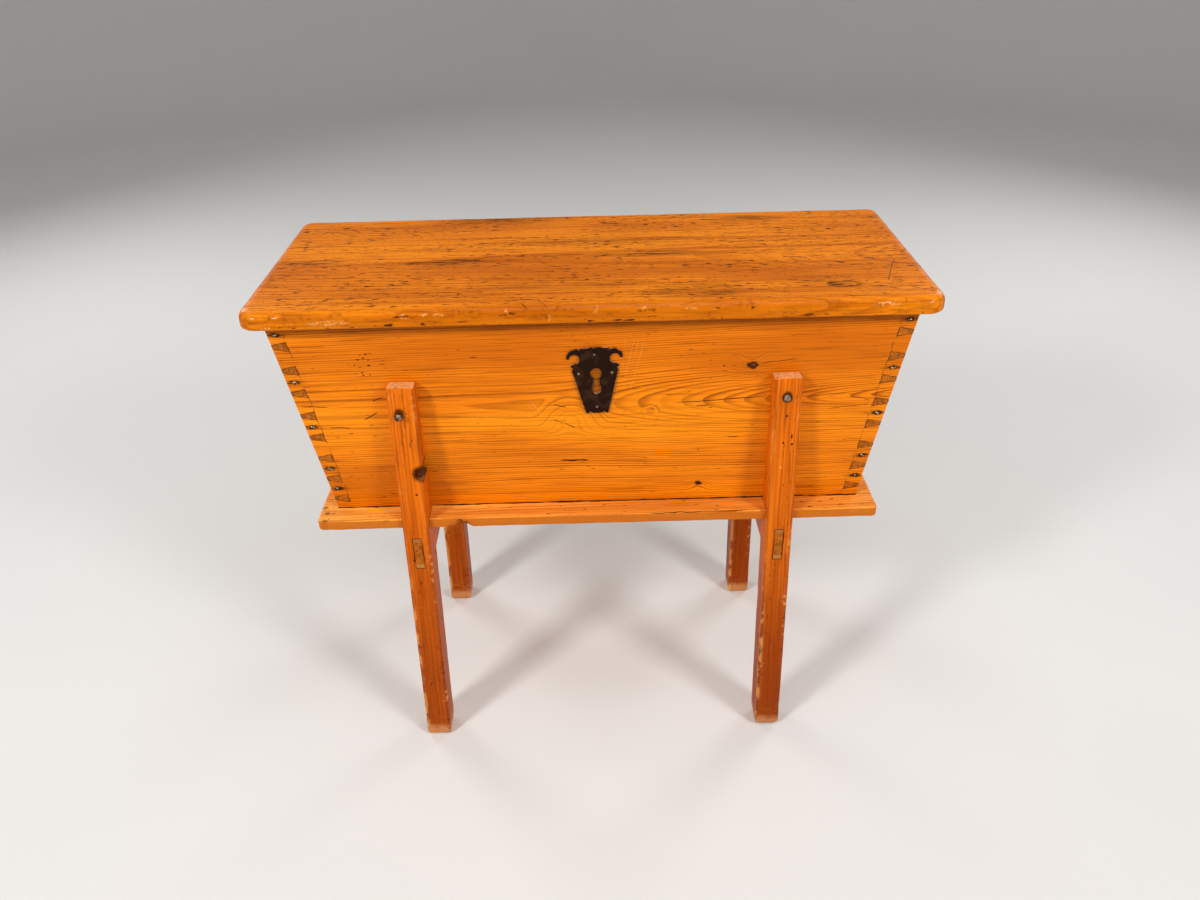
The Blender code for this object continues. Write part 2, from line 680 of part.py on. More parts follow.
def hinge_leaf(name, centre, on_lid, material):
    """A leaf rolled round the pin: the lid leaf in the middle, the box leaf at both ends."""
    y, z = hinge_axis()
    along, wood = leaf_directions(on_lid)
    mesh = bmesh.new()
    inner = BARREL_RADIUS - LEAF_THICKNESS
    start = BARREL_RADIUS
    split = HINGE_LENGTH / 6 + (-CLEARANCE if on_lid else CLEARANCE) / 2
    stations = (-HINGE_LENGTH / 2, -split, split, HINGE_LENGTH / 2)
    rolled = (False, True, False) if on_lid else (True, False, True)

    def vertex(x, out, up):
        return mesh.verts.new(Vector((centre + x, y, z)) + along * out + wood * up)

    plate = []
    for x in stations:
        plate.append([vertex(x, start, BARREL_RADIUS), vertex(x, LEAF_WIDTH, BARREL_RADIUS),
                      vertex(x, LEAF_WIDTH, inner), vertex(x, start, inner)])
    mesh.faces.new(plate[0])
    mesh.faces.new(plate[-1])
    steps = 14
    for segment in range(3):
        near, far = plate[segment], plate[segment + 1]
        for index in range(3):
            mesh.faces.new((near[index], near[index + 1], far[index + 1], far[index]))
        if not rolled[segment]:
            mesh.faces.new((near[3], near[0], far[0], far[3]))
            continue
        chains = []
        for corner, radius in ((0, BARREL_RADIUS), (3, inner)):
            rows = []
            for row, x in ((near, stations[segment]), (far, stations[segment + 1])):
                chain = [row[corner]]
                for step in range(steps + 1):
                    angle = math.radians(90 + 285 * step / steps)
                    chain.append(vertex(x, radius * math.cos(angle), radius * math.sin(angle)))
                rows.append(chain)
            chains.append(rows)
        outside, inside = chains
        for index in range(steps + 1):
            mesh.faces.new((outside[0][index], outside[0][index + 1], outside[1][index + 1], outside[1][index]))
            mesh.faces.new((inside[0][index], inside[0][index + 1], inside[1][index + 1], inside[1][index]))
            for end in (0, 1):
                mesh.faces.new((outside[end][index], outside[end][index + 1],
                                inside[end][index + 1], inside[end][index]))
        mesh.faces.new((outside[0][-1], outside[1][-1], inside[1][-1], inside[0][-1]))
    return finish(name, mesh, material, smooth=True)


def hinge_pin(name, centre, material):
    """The pin of one hinge, riveted over at both ends."""
    y, z = hinge_axis()
    mesh = bmesh.new()
    radius = BARREL_RADIUS - LEAF_THICKNESS - CLEARANCE
    half = HINGE_LENGTH / 2 + CLEARANCE
    head = BARREL_RADIUS * 0.82
    profile = ((head * 0.6, -half - 0.0016), (head, -half - 0.0008), (head, -half), (radius, -half),
               (radius, half), (head, half), (head, half + 0.0008), (head * 0.6, half + 0.0016))
    turned(mesh, (centre, y, z), (1.0, 0.0, 0.0), profile, 12)
    return finish(name, mesh, material, smooth=True)


def hinge_screws(on_lid, material):
    """Two screws through each leaf into the lid or the back board."""
    y, z = hinge_axis()
    along, wood = leaf_directions(on_lid)
    places = {}
    out = (BARREL_RADIUS + LEAF_WIDTH) / 2
    part = "lid" if on_lid else "box"
    for side, hand in ((-1, "left"), (1, "right")):
        for order, shift in enumerate((-0.32, 0.32)):
            axis_point = Vector((side * hinge_centre() + shift * HINGE_LENGTH, y, z))
            start = axis_point + along * out + wood * (BARREL_RADIUS - LEAF_THICKNESS)
            places["%s_hinge_%s_screw_%d" % (hand, part, order + 1)] = (start, wood)
    hole_name = "hinge_%s_screw_holes" % part
    return fasteners(places, sunk_screw_profile, 8, HINGE_SCREW_LENGTH, material, hole_name)


def carry(axle, pieces):
    """Hang pieces on the hinge line, where they stand."""
    for item in pieces:
        item.parent = axle
        item.matrix_parent_inverse = axle.matrix_basis.inverted()


def build():
    """Make every piece in its place."""
    clear_scene()
    honey = make_material("honey_pine", (0.52, 0.23, 0.055), 0.38, 0.0)
    reddish = make_material("reddish_pine", (0.40, 0.155, 0.045), 0.42, 0.0)
    peach = make_material("peach_pine", (0.56, 0.27, 0.10), 0.45, 0.0)
    pale = make_material("pale_wedge_wood", (0.42, 0.27, 0.10), 0.55, 0.0)
    black = make_material("black_iron", (0.022, 0.017, 0.014), 0.45, 0.9)
    worn = make_material("worn_iron", (0.10, 0.085, 0.07), 0.42, 0.9)

    front = tail_board("front_board", -1, honey)
    back = tail_board("back_board", 1, honey)
    ends = {"left": pin_board("left_end_board", -1, honey), "right": pin_board("right_end_board", 1, honey)}
    base = base_board(peach)
    cut(base, leg_notch_cutter(), chip_cutter())

    nails, nail_holes = base_nails(worn)
    for board in (base, front, back):
        cut(board, nail_holes)

    for facing, row, board in ((-1, "front", front), (1, "rear", back)):
        for side, hand in ((-1, "left"), (1, "right")):
            place = row + "_" + hand
            if facing < 0:
                nails, nail_holes = corner_nails(place, side, facing, black)
                cut(board, nail_holes)
                cut(ends[hand], nail_holes)

            post = leg(place + "_leg", side, facing, reddish)
            cut(post, mortise_cutter(place + "_mortise", side, facing))
            screw, screw_hole = leg_screw(place, side, facing, worn)
            cut(post, screw_hole)
            cut(board, screw_hole)
            if place == "front_left":
                cut(post, leg_notch(side, facing))
            wedge(place + "_upper_wedge", side, facing, 1, pale)
            wedge(place + "_lower_wedge", side, facing, -1, pale)

    cross_rail("left_cross_rail", -1, reddish)
    cross_rail("right_cross_rail", 1, reddish)

    plate = lock_plate(black)
    nails, nail_holes = plate_nails(worn)
    cut(plate, nail_holes)
    cut(front, nail_holes)

    axle = bpy.data.objects.new("lid_hinge_line", None)
    axle.location = (0.0, *hinge_axis())
    bpy.context.collection.objects.link(axle)
    cover = lid(honey)
    moving = [cover]
    lid_screws, lid_holes = hinge_screws(True, worn)
    box_screws, box_holes = hinge_screws(False, worn)
    moving += lid_screws
    cut(cover, lid_holes)
    cut(back, box_holes)
    for side, hand in ((-1, "left"), (1, "right")):
        centre = side * hinge_centre()
        upper = hinge_leaf(hand + "_hinge_lid_leaf", centre, True, black)
        lower = hinge_leaf(hand + "_hinge_box_leaf", centre, False, black)
        cut(upper, lid_holes)
        cut(lower, box_holes)
        moving.append(upper)
        hinge_pin(hand + "_hinge_pin", centre, worn)
    carry(axle, moving)


build()
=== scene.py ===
"""Dress a dough box on its stand: worn pine boards, wedged tenons and black iron.

The solid pieces come from the frame and stay where they are. Each operator makes
finer pieces in their place, in metres, with the length along X and the front
facing -Y, and paints them with shaders that read only the piece's own coordinates.
"""
import json
import math

import bmesh
import bpy
from bpy.props import FloatProperty, FloatVectorProperty, PointerProperty
from mathutils import Matrix, Vector, noise


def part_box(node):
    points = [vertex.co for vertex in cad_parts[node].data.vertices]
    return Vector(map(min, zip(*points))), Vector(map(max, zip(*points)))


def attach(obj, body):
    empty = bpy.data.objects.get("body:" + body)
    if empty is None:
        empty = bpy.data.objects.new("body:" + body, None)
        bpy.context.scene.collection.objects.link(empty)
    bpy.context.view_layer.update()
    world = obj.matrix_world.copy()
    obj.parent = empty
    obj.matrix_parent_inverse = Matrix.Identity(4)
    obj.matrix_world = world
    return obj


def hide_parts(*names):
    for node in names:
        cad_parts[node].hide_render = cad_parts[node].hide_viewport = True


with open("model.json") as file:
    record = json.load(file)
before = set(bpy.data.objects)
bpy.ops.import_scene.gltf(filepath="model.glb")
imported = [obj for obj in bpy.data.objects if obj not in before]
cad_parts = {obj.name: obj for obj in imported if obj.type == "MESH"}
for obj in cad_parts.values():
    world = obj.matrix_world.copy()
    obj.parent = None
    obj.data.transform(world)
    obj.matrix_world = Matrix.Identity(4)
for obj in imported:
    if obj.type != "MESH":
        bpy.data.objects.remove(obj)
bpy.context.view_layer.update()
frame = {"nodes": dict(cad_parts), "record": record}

bl_info = {
    "name": "Dough Box Finish",
    "version": (1, 0, 0),
    "blender": (4, 5, 0),
    "location": "View3D > Sidebar > Dough Box",
    "description": "Makes the worn pine and iron pieces of a dough box on its stand",
    "category": "Object",
}

BODY_OF = {node: body for body, nodes in frame["record"]["behaviour"]["bodies"].items() for node in nodes}

# Sizes of the solids that the finer pieces follow, in metres
LID_LOW, LID_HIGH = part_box("lid")
BASE_LOW, BASE_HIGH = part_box("base_board")
BASE_TOP = BASE_HIGH.z
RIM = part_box("front_board")[1].z
FLOOR_HALF_LENGTH = 0.405
FLOOR_HALF_DEPTH = 0.142
END_LEAN = 0.048 / (RIM - BASE_TOP)
FRONT_LEAN = 0.023 / (RIM - BASE_TOP)
FRONT_ANGLE = math.atan(FRONT_LEAN)
FRONT_OUTWARD = Vector((0.0, -math.cos(FRONT_ANGLE), -math.sin(FRONT_ANGLE)))
BACK_OUTWARD = Vector((0.0, math.cos(FRONT_ANGLE), -math.sin(FRONT_ANGLE)))
BOARD_THICKNESS = 0.022
CLEARANCE = 0.0003
LEG_WIDTH = 0.0405
LEG_TOP = 0.677
LEG_TOP_DEPTH = 0.0215
LEG_RAKE = 0.023
LEG_TOP_CENTRE = 0.275
LEG_FOOT_CENTRE = 0.2875
MORTISE_TAPER = 0.0062
PLATE_HEIGHT = 0.1095
PLATE_THICKNESS = 0.0025
PLATE_BELOW_RIM = 0.0505
PLATE_OFFSET = 0.0020
PLATE_TILT = math.radians(1.4)
CORNER_NAILS = 5
BASE_NAILS = 3
HANDS = ("left", "right")

# Softened edges of the smaller pieces, in metres
LOWER_ARRIS = 0.0025
RAIL_ARRIS = 0.0007
WEDGE_ARRIS = 0.0004
PLATE_ARRIS = 0.0007
HINGE_ARRIS = 0.00025

# The four legs: which side of the middle each stands on, along X and along Y
PLACES = {"front_left": (-1, -1), "front_right": (1, -1), "rear_left": (-1, 1), "rear_right": (1, 1)}

# Camera fitted to the viewing angle: metres, degrees and, for the lens, millimetres
CAMERA_PLACE = (-0.00079, -1.37499, 1.30675)
CAMERA_PITCH = 31.77773
CAMERA_YAW = 0.31468
CAMERA_ROLL = 1.3156
CAMERA_LENS = 28.672


def half_length(z):
    """Half the outside length of the box at height z."""
    return FLOOR_HALF_LENGTH + END_LEAN * (z - BASE_TOP)


def half_depth(z):
    """Half the outside depth of the box at height z."""
    return FLOOR_HALF_DEPTH + FRONT_LEAN * (z - BASE_TOP)


def leg_centre(z):
    """Distance of a leg's centre line from the middle of the box."""
    return LEG_FOOT_CENTRE + (LEG_TOP_CENTRE - LEG_FOOT_CENTRE) * z / LEG_TOP


def leg_outside(z):
    """Distance of a leg's outer face from the middle plane."""
    top = half_depth(LEG_TOP) + CLEARANCE + LEG_TOP_DEPTH
    return top + LEG_RAKE * (LEG_TOP - z) / LEG_TOP


LEG_DEPTH = leg_outside(BASE_TOP) - half_depth(BASE_TOP) - CLEARANCE


def leg_inside(z):
    """Distance of a leg's inner face from the middle plane."""
    if z > BASE_TOP:
        return half_depth(z) + CLEARANCE
    return leg_outside(z) - LEG_DEPTH


# Middle of the broken notch in the front left leg, and of the chip beside that leg
NOTCH_HEIGHT = 0.535
NOTCH_PLACE = (LEG_WIDTH / 2 - 0.0020 - leg_centre(NOTCH_HEIGHT), NOTCH_HEIGHT)
CHIP_PLACE = Vector((LEG_WIDTH / 2 + 0.049 - leg_centre(BASE_TOP), BASE_LOW.y, BASE_LOW.z))


def mortise_span():
    """Lowest and highest point of a leg's mortise at its outer face."""
    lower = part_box("front_left_lower_wedge")[0].z
    return lower - CLEARANCE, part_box("front_left_upper_wedge")[1].z + CLEARANCE


def node_centre(node):
    """Middle of the box round a solid."""
    low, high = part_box(node)
    return (low + high) / 2


def colour_value(name, description, default):
    """A colour that a user can change."""
    return FloatVectorProperty(name=name, description=description, default=default,
                               subtype="COLOR", size=3, min=0.0, max=1.0)


def length_value(name, description, default, low, high):
    """A length in metres that a user can change."""
    return FloatProperty(name=name, description=description, default=default,
                         min=low, max=high, unit="LENGTH")


def power_value(name, description, default):
    """The power of a lamp in watts that a user can change."""
    return FloatProperty(name=name, description=description, default=default,
                         min=0.0, max=500.0, unit="POWER")


class FinishColours(bpy.types.PropertyGroup):
    """Colours of the woods and the iron."""

    honey: colour_value(
        "Honey pine", "Soft summer wood of the lid and the box boards", (0.930, 0.245, 0.004))
    honey_line: colour_value(
        "Honey grain line", "Dark winter lines in the lid and the box boards", (0.300, 0.051, 0.001))
    leg: colour_value("Leg pine", "Soft wood of the legs and rails", (0.780, 0.160, 0.004))
    leg_line: colour_value("Leg grain line", "Dark lines in the legs and rails", (0.260, 0.040, 0.002))
    base: colour_value("Base pine", "Soft wood of the base board", (1.000, 0.370, 0.048))
    base_line: colour_value("Base grain line", "Dark lines in the base board", (0.450, 0.105, 0.009))
    wedge: colour_value("Wedge wood", "Pale dry wood of the wedges", (0.560, 0.215, 0.028))
    end_grain: colour_value("End grain", "Brown of the cut ends of pins and tenons", (0.370, 0.100, 0.009))
    # Also the colour of the painted shade in the keyhole, the broken notch, the chip and under the lid's
    # overhang.
    grime_and_shade: colour_value("Grime", "Old dirt in cracks, holes and joints", (0.022, 0.007, 0.002))
    # Also the colour of the painted highlights beside the dents on the lid's front edge.
    rubbed: colour_value("Rubbed wood", "Bare wood on knocked edges", (0.800, 0.340, 0.080))
    iron: colour_value(
        "Black iron", "Forged iron of the lock plate, hinges and nails", (0.026, 0.0108, 0.0056))
    bare_end: colour_value(
        "Bare end", "Pale dry wood on the tops and feet of the legs", (0.800, 0.390, 0.150))
    # Also the colour of the painted glints and highlights on the iron.
    glint_and_rubbed_iron: colour_value("Rubbed iron", "Bare metal on the edges of the iron", (0.800, 0.660, 0.470))


class FinishSizes(bpy.types.PropertyGroup):
    """Sizes of the edges, the grain and the wear."""

    lid_roundover: length_value(
        "Lid roundover", "Radius along the upper edge of the lid", 0.0125, 0.002, 0.020)
    lid_front_corner: length_value(
        "Lid front corner", "Corner radius at the front of the lid", 0.027, 0.005, 0.060)
    lid_back_corner: length_value(
        "Lid back corner", "Corner radius at the back of the lid", 0.019, 0.005, 0.060)
    board_arris: length_value("Board arris", "Softening of the box boards' edges", 0.0005, 0.0001, 0.003)
    leg_arris: length_value("Leg arris", "Usual rounding of the legs' edges", 0.0022, 0.0005, 0.006)
    knock_depth: length_value("Knocks", "Deepest knock in a leg's edge", 0.0024, 0.0, 0.006)
    ring_pitch: length_value("Ring pitch", "Width of a year's growth in the pine", 0.0034, 0.001, 0.010)
    bump: length_value("Grain relief", "Height of the grain's relief", 0.0004, 0.0, 0.002)


class StageSettings(bpy.types.PropertyGroup):
    """The floor and the lamps."""

    floor: colour_value("Floor", "Colour of the plain floor", (0.70, 0.69, 0.675))
    key: power_value("Key lamp", "Power of the lamp at the front left", 74.0)
    fill: power_value("Fill lamp", "Power of the lamp at the front right", 60.0)
    top: power_value("Top lamp", "Power of the lamp above", 20.0)
    back: power_value("Back lamps", "Power of each of the two lamps behind", 30.0)
    sky: FloatProperty(
        name="Sky", description="Strength of the even light from all round", default=0.28, min=0.0, max=5.0)


class Wire:
    """A shader value that takes part in Python arithmetic."""

    def __init__(self, paint, socket):
        self.paint = paint
        self.socket = socket

    def __add__(self, other):
        return self.paint.maths("ADD", self, other)

    def __radd__(self, other):
        return self.paint.maths("ADD", other, self)

    def __sub__(self, other):
        return self.paint.maths("SUBTRACT", self, other)

    def __rsub__(self, other):
        return self.paint.maths("SUBTRACT", other, self)

    def __mul__(self, other):
        return self.paint.maths("MULTIPLY", self, other)

    def __rmul__(self, other):
        return self.paint.maths("MULTIPLY", other, self)

    def __truediv__(self, other):
        return self.paint.maths("DIVIDE", self, other)

    def __rtruediv__(self, other):
        return self.paint.maths("DIVIDE", other, self)

    def __abs__(self):
        return self.paint.maths("ABSOLUTE", self)

    def sign(self):
        """-1 below zero and 1 above."""
        return self.paint.maths("SIGN", self)


class Paint:
    """One material, built node by node around a Principled shader."""

    def __init__(self, name, **constants):
        self.material = bpy.data.materials.new(name)
        self.material.use_nodes = True
        self.tree = self.material.node_tree
        self.tree.nodes.clear()
        self.shader = self.tree.nodes.new("ShaderNodeBsdfPrincipled")
        output = self.tree.nodes.new("ShaderNodeOutputMaterial")
        self.tree.links.new(self.shader.outputs[0], output.inputs[0])
        for socket, value in constants.items():
            self.shader.inputs[socket.replace("_", " ")].default_value = value
        coordinates = self.tree.nodes.new("ShaderNodeTexCoord")
        self.point = Wire(self, coordinates.outputs["Object"])
        self.normal = Wire(self, coordinates.outputs["Normal"])

    def add(self, kind, settings=None, sockets=None, out=0):
        """Any node: its settings first, then the values or links of its sockets."""
        node = self.tree.nodes.new(kind)
        for key, value in (settings or {}).items():
            setattr(node, key, value)
        for key, value in (sockets or {}).items():
            self.feed(node.inputs[key], value)
        return Wire(self, node.outputs[out])

    def feed(self, socket, value):
        """Link a wire to a socket, or set the socket's own value."""
        if isinstance(value, Wire):
            self.tree.links.new(value.socket, socket)
        else:
            socket.default_value = value

    def maths(self, operation, first, second=0.0):
        """A Math node on one or two values."""
        return self.add("ShaderNodeMath", {"operation": operation}, {0: first, 1: second})

    def split(self, wire):
        """The three parts of a vector."""
        first = self.add("ShaderNodeSeparateXYZ", None, {0: wire})
        outputs = first.socket.node.outputs
        return [Wire(self, outputs[index]) for index in range(3)]

    def vector(self, x, y, z):
        """A vector from its three parts."""
        return self.add("ShaderNodeCombineXYZ", None, {0: x, 1: y, 2: z})

    def rise(self, value, low, high):
        """0 below low, 1 above high, with a smooth step between."""
        settings = {"interpolation_type": "SMOOTHSTEP"}
        return self.add("ShaderNodeMapRange", settings, {0: value, 1: low, 2: high})

    def noise(self, place, detail=2.0, roughness=0.5):
        """Cloudy values round a half, one cloud to each unit of the given place."""
        sockets = {"Vector": place, "Scale": 1.0, "Detail": detail, "Roughness": roughness}
        return self.add("ShaderNodeTexNoise", None, sockets)

    def haze(self, place, scales, detail=2.0, roughness=0.5):
        """Noise over a place of three parts, with one scale for all or one for each."""
        scales = scales if isinstance(scales, tuple) else (scales, scales, scales)
        parts = [part * scale for part, scale in zip(place, scales)]
        return self.noise(self.vector(*parts), detail, roughness)

    def blend(self, factor, first, second):
        """From the first colour to the second."""
        settings = {"data_type": "RGBA", "clamp_factor": True}
        return self.add("ShaderNodeMix", settings, {0: factor, 6: first, 7: second}, 2)

    def length(self, first, second):
        """The long side of a right angle's triangle."""
        return self.maths("SQRT", first * first + second * second)

    def larger(self, first, second):
        """The larger of two values."""
        return self.maths("MAXIMUM", first, second)

    def attribute(self, name):
        """A number that the mesh carries at each point."""
        return self.add("ShaderNodeAttribute", {"attribute_name": name}, None, "Fac")

    def spot(self, u, v, centre, half_u, half_v):
        """1 inside an oval, with a soft edge."""
        away = self.length((u - centre[0]) / half_u, (v - centre[1]) / half_v)
        return 1.0 - self.rise(away, 0.6, 1.15)

    def stroke(self, u, v, start, end, width):
        """1 along a line between two points, fading at its ends."""
        across = (end[0] - start[0], end[1] - start[1])
        size = math.hypot(*across)
        unit = (across[0] / size, across[1] / size)
        along = (u - start[0]) * unit[0] + (v - start[1]) * unit[1]
        aside = abs((v - start[1]) * unit[0] - (u - start[0]) * unit[1])
        middle = abs(along - size / 2)
        ends = 1.0 - self.rise(middle, size * 0.34, size * 0.52)
        return ends * (1.0 - self.rise(aside, width * 0.3, width))

    def finish(self, colour, roughness, relief=None, distance=0.0):
        """Feed the shader and hand over the material."""
        self.feed(self.shader.inputs["Base Color"], colour)
        self.feed(self.shader.inputs["Roughness"], roughness)
        if relief:
            bump = self.add("ShaderNodeBump", None, {"Strength": 1.0, "Distance": distance, "Height": relief})
            self.feed(self.shader.inputs["Normal"], bump)
        return self.material


def rgba(colour, *shares):
    """A colour with full alpha, times one share for all its parts or one for each."""
    shares = shares if len(shares) == 3 else 3 * (shares or (1.0,))
    return tuple(part * share for part, share in zip(colour, shares)) + (1.0,)


class Grain:
    """How a board was cut from its log, as functions of the board's coordinates.

    axes turns x, y and z into (along, across, depth). pith is the heart's place
    (across, depth) at along = 0, slope is how it drifts for each metre, and bend
    is (start, drift), a further drift in depth from one place on. Each knot is
    (along, across, radius, darkness).
    """

    def __init__(self, axes, axis, seed, pith, slope=(0.0, 0.0), bend=(0.0, 0.0), knots=(), sway=0.030):
        self.axes = axes
        self.axis = axis
        self.seed = seed
        self.pith = pith
        self.slope = slope
        self.bend = bend
        self.knots = knots
        self.sway = sway


def growth(paint, grain, along, across, depth, cloud, ring):
    """The late wood of each year, that year's strength, the knots, and a jagged noise for them.

    ring is the width of a year. A knot pushes the rings round it aside.
    """
    sway = cloud(1.3, 7.0, 1.0) - 0.5
    ripple = cloud(7.0, 55.0, 2.0, 3.0) - 0.5
    side = across - grain.pith[0] - along * grain.slope[0] + sway * grain.sway + ripple * 0.0046
    past = along - grain.bend[0]
    beyond = (past + paint.length(past, 0.06)) * 0.5
    heart = depth - grain.pith[1] - along * grain.slope[1] - beyond * grain.bend[1]
    heart = heart + sway * (0.15 * grain.sway)
    radius = paint.length(side, heart)
    jagged = cloud(150.0, 150.0, 2.0, 15.0)
    knot = None
    for u, v, size, darkness in grain.knots:
        away = paint.length((along - u) * 0.74, across - v)
        radius = radius + (1.0 - paint.rise(away, 0.0, size * 4.5)) * (size * 1.9)
        away = away + (jagged - 0.5) * (0.9 * size)
        core = (1.0 - paint.rise(away, size * 0.55, size)) * darkness
        knot = core if knot is None else paint.larger(knot, core)
    phase = radius / ring
    year = paint.maths("FRACT", phase)
    late = paint.rise(year, 0.30, 0.93) * (1.0 - paint.rise(year, 0.955, 1.0))
    number = paint.maths("FLOOR", phase) + grain.seed
    vigour = paint.add("ShaderNodeTexWhiteNoise", {"noise_dimensions": "1D"}, {"W": number})
    return late, vigour, knot, jagged


def sawn_wood(paint, cloud, line, fibre, light, dark, streak, fine):
    """The colour of a sawn face: ring lines, broad and narrow streaks, and fibres."""
    deep = rgba(light, 0.62, 0.50, 0.40)
    bright = (min(1.0, 1.14 * light[0]), 1.30 * light[1], 1.6 * light[2], 1.0)
    broad = cloud(2.2, 9.0, 2.0, 7.0)
    bands = paint.rise(cloud(2.4, 130.0 * fine, 3.0, 25.0), 0.46, 0.68)
    colour = paint.blend(line, rgba(light), rgba(dark))
    colour = paint.blend(paint.rise(broad, 0.46, 0.74) * 0.80, colour, deep)
    colour = paint.blend(paint.rise(broad, 0.54, 0.28) * 0.60, colour, bright)
    colour = paint.blend(bands * streak, colour, deep)
    return paint.blend(paint.rise(fibre, 0.48, 0.74) * 0.60, colour, rgba(dark))


def resin_flecks(paint, cloud, patch, fleck, fine):
    """Short dark dashes along the grain, in patches, and fine pores everywhere."""
    ease = 0.09 * fleck
    dashes = paint.rise(cloud(62.0, 500.0 * fine, 1.0, 11.0), 0.74 - ease, 0.79 - ease)
    pores = paint.rise(cloud(170.0, 620.0 * fine, 1.0, 13.0), 0.79 - ease, 0.84 - ease)
    return paint.larger(dashes * paint.rise(patch, 0.36, 0.56), pores * 0.75)


def cut_end(paint, place, blotch, late, end, mottle):
    """The colour of end grain: spotted, and darker in the late wood."""
    spotted = paint.rise(paint.haze(place, 800.0) * 0.5 + blotch * 0.5, 0.40, 0.62)
    colour = paint.blend(spotted, rgba(end, 1.0 + 0.5 * mottle), rgba(end, 1.0 - 0.62 * mottle))
    return paint.blend(late * (0.6 * mottle), colour, rgba(end, 0.30))


def worn_edges(paint, place, colour, rub, wear, burnt, rubbed):
    """Dirt and bare wood on the edges, more of both with more wear."""
    chips = paint.haze(place, 130.0, 3.0, 0.6)
    sparse = paint.haze(place, 17.0)
    bare = rub * paint.rise(chips * 0.6 + sparse * 0.5, 0.68 - 0.10 * wear, 0.76 - 0.09 * wear)
    dirty = rub * paint.rise(chips * 0.5 - sparse * 0.35 + 0.5, 0.62, 0.70)
    colour = paint.blend(dirty * (0.3 + 0.5 * wear), colour, burnt)
    return paint.blend(bare * (0.2 + 0.7 * wear), colour, rubbed)


def paint_pine(name, grain, light, dark, settings, marks=None, tint=None, wear=0.0, lines=0.75,
               fleck=0.5, streak=0.4, end_mix=0.85, end_colour=None, mottle=1.0, roughness=0.38, pitch=1.0,
               gloss=0.20, fine=1.0):
    """Pine with growth rings, fibres, resin flecks, knots, marks and worn edges.

    light and dark are the soft and the hard wood of a ring. lines, streak and fleck
    are the strength of the ring lines, the broad streaks and the resin flecks. pitch
    and fine are the width of the rings and the fineness of the fibres. end_mix and
    mottle are how far the cut ends differ and how spotted they are. marks gives the
    dark and the pale marks, with some painted shade and painted highlights among them,
    and tint changes the colour under the worn edges, with painted shade on legs and base.
    """
    colours, sizes = settings.colours, settings.sizes
    grime_and_shade = rgba(colours.grime_and_shade)
    rubbed = rgba(colours.rubbed)
    burnt = rgba(dark, 0.17, 0.15, 0.30)
    paint = Paint(name, Coat_Roughness=0.16, Specular_IOR_Level=gloss, Specular_Tint=(1.0, 0.62, 0.28, 1.0))
    place = paint.split(paint.point)
    facing = paint.split(paint.normal)
    along, across, depth = grain.axes(*place)
    seed = grain.seed

    def cloud(stretch, width, detail=2.0, shift=0.0):
        spread = paint.vector(along * stretch + (seed + shift), across * width + seed, depth * width - seed)
        return paint.noise(spread, detail)

    late, vigour, knot, jagged = growth(paint, grain, along, across, depth, cloud, sizes.ring_pitch * pitch)
    fibre = cloud(11.0, 420.0 * fine, 2.0, 5.0)
    patch = cloud(5.0, 26.0, 2.0, 9.0)
    line = late * (0.20 + 0.90 * vigour) * lines * (0.40 + 1.2 * patch)
    colour = sawn_wood(paint, cloud, line, fibre, light, dark, streak, fine)

    rub = paint.attribute("wear") if wear else None
    flecks = resin_flecks(paint, cloud, patch, fleck, fine)
    flecks = flecks * (0.25 + 0.75 * paint.rise(facing[2], -0.60, -0.10))
    if rub:
        flecks = flecks * (1.0 - 0.75 * paint.rise(rub, 0.02, 0.30))
    colour = paint.blend(flecks, colour, burnt)
    relief = late * 0.25 + fibre * 0.22 - flecks * 0.7

    ends = paint.rise(abs(facing[grain.axis]), 0.72, 0.95)
    blotch = paint.haze(place, 170.0)
    end = cut_end(paint, place, blotch, late, end_colour or colours.end_grain, mottle)
    colour = paint.blend(ends * end_mix, colour, end)

    stain_and_shade = None
    if knot:
        heart = paint.blend(paint.rise(jagged, 0.52, 0.74), grime_and_shade, rgba(dark))
        colour = paint.blend(knot, colour, heart)
        relief = relief - knot * 0.3
    if marks:
        wobble = (cloud(60.0, 60.0, 1.0, 19.0) - 0.5) * 0.0040
        # The dark marks carry painted shade as well as dirt, and the pale marks painted highlights as well as
        # scratches.
        stain_and_shade, scratch_and_highlight = marks(paint, place[0] + wobble, place[1] + wobble, place[2] + wobble * 0.8)
        if scratch_and_highlight:
            colour = paint.blend(scratch_and_highlight, colour, rubbed)
            relief = relief - scratch_and_highlight * 0.4
        colour = paint.blend(stain_and_shade, colour, grime_and_shade)
        relief = relief - stain_and_shade * 1.2
    if tint:
        colour = tint(paint, *place, colour, colours)
    if rub:
        colour = worn_edges(paint, place, colour, rub, wear, burnt, rubbed)
    seam = paint.attribute("seam") * paint.rise(blotch, 0.20, 0.55)
    colour = paint.blend(seam, colour, grime_and_shade)

    sheen = roughness + 0.10 * late + 0.14 * (patch - 0.5) + 0.16 * ends
    coat = 0.05 - 0.05 * ends
    if rub:
        coat = coat + 0.14 * rub
    if stain_and_shade:
        sheen = sheen + 0.2 * stain_and_shade
        coat = coat * (1.0 - stain_and_shade)
    paint.feed(paint.shader.inputs["Coat Weight"], coat)
    return paint.finish(colour, sheen, relief, sizes.bump)


def strongest(paint, masks):
    """The strongest of several masks."""
    total = masks[0]
    for mask in masks[1:]:
        total = paint.larger(total, mask)
    return total


def mm(points):
    """A point or a list of numbers given in millimetres, in metres."""
    return [value / 1000 for value in points]


def strokes(paint, u, v, rows):
    """Lines given as (start, end, width) in millimetres."""
    return [paint.stroke(u, v, mm(start), mm(end), width / 1000) for start, end, width in rows]


def spots(paint, u, v, rows):
    """Ovals that begin with (u, v, half width, half height) in millimetres."""
    return [paint.spot(u, v, mm(row[:2]), *mm(row[2:4])) for row in rows]


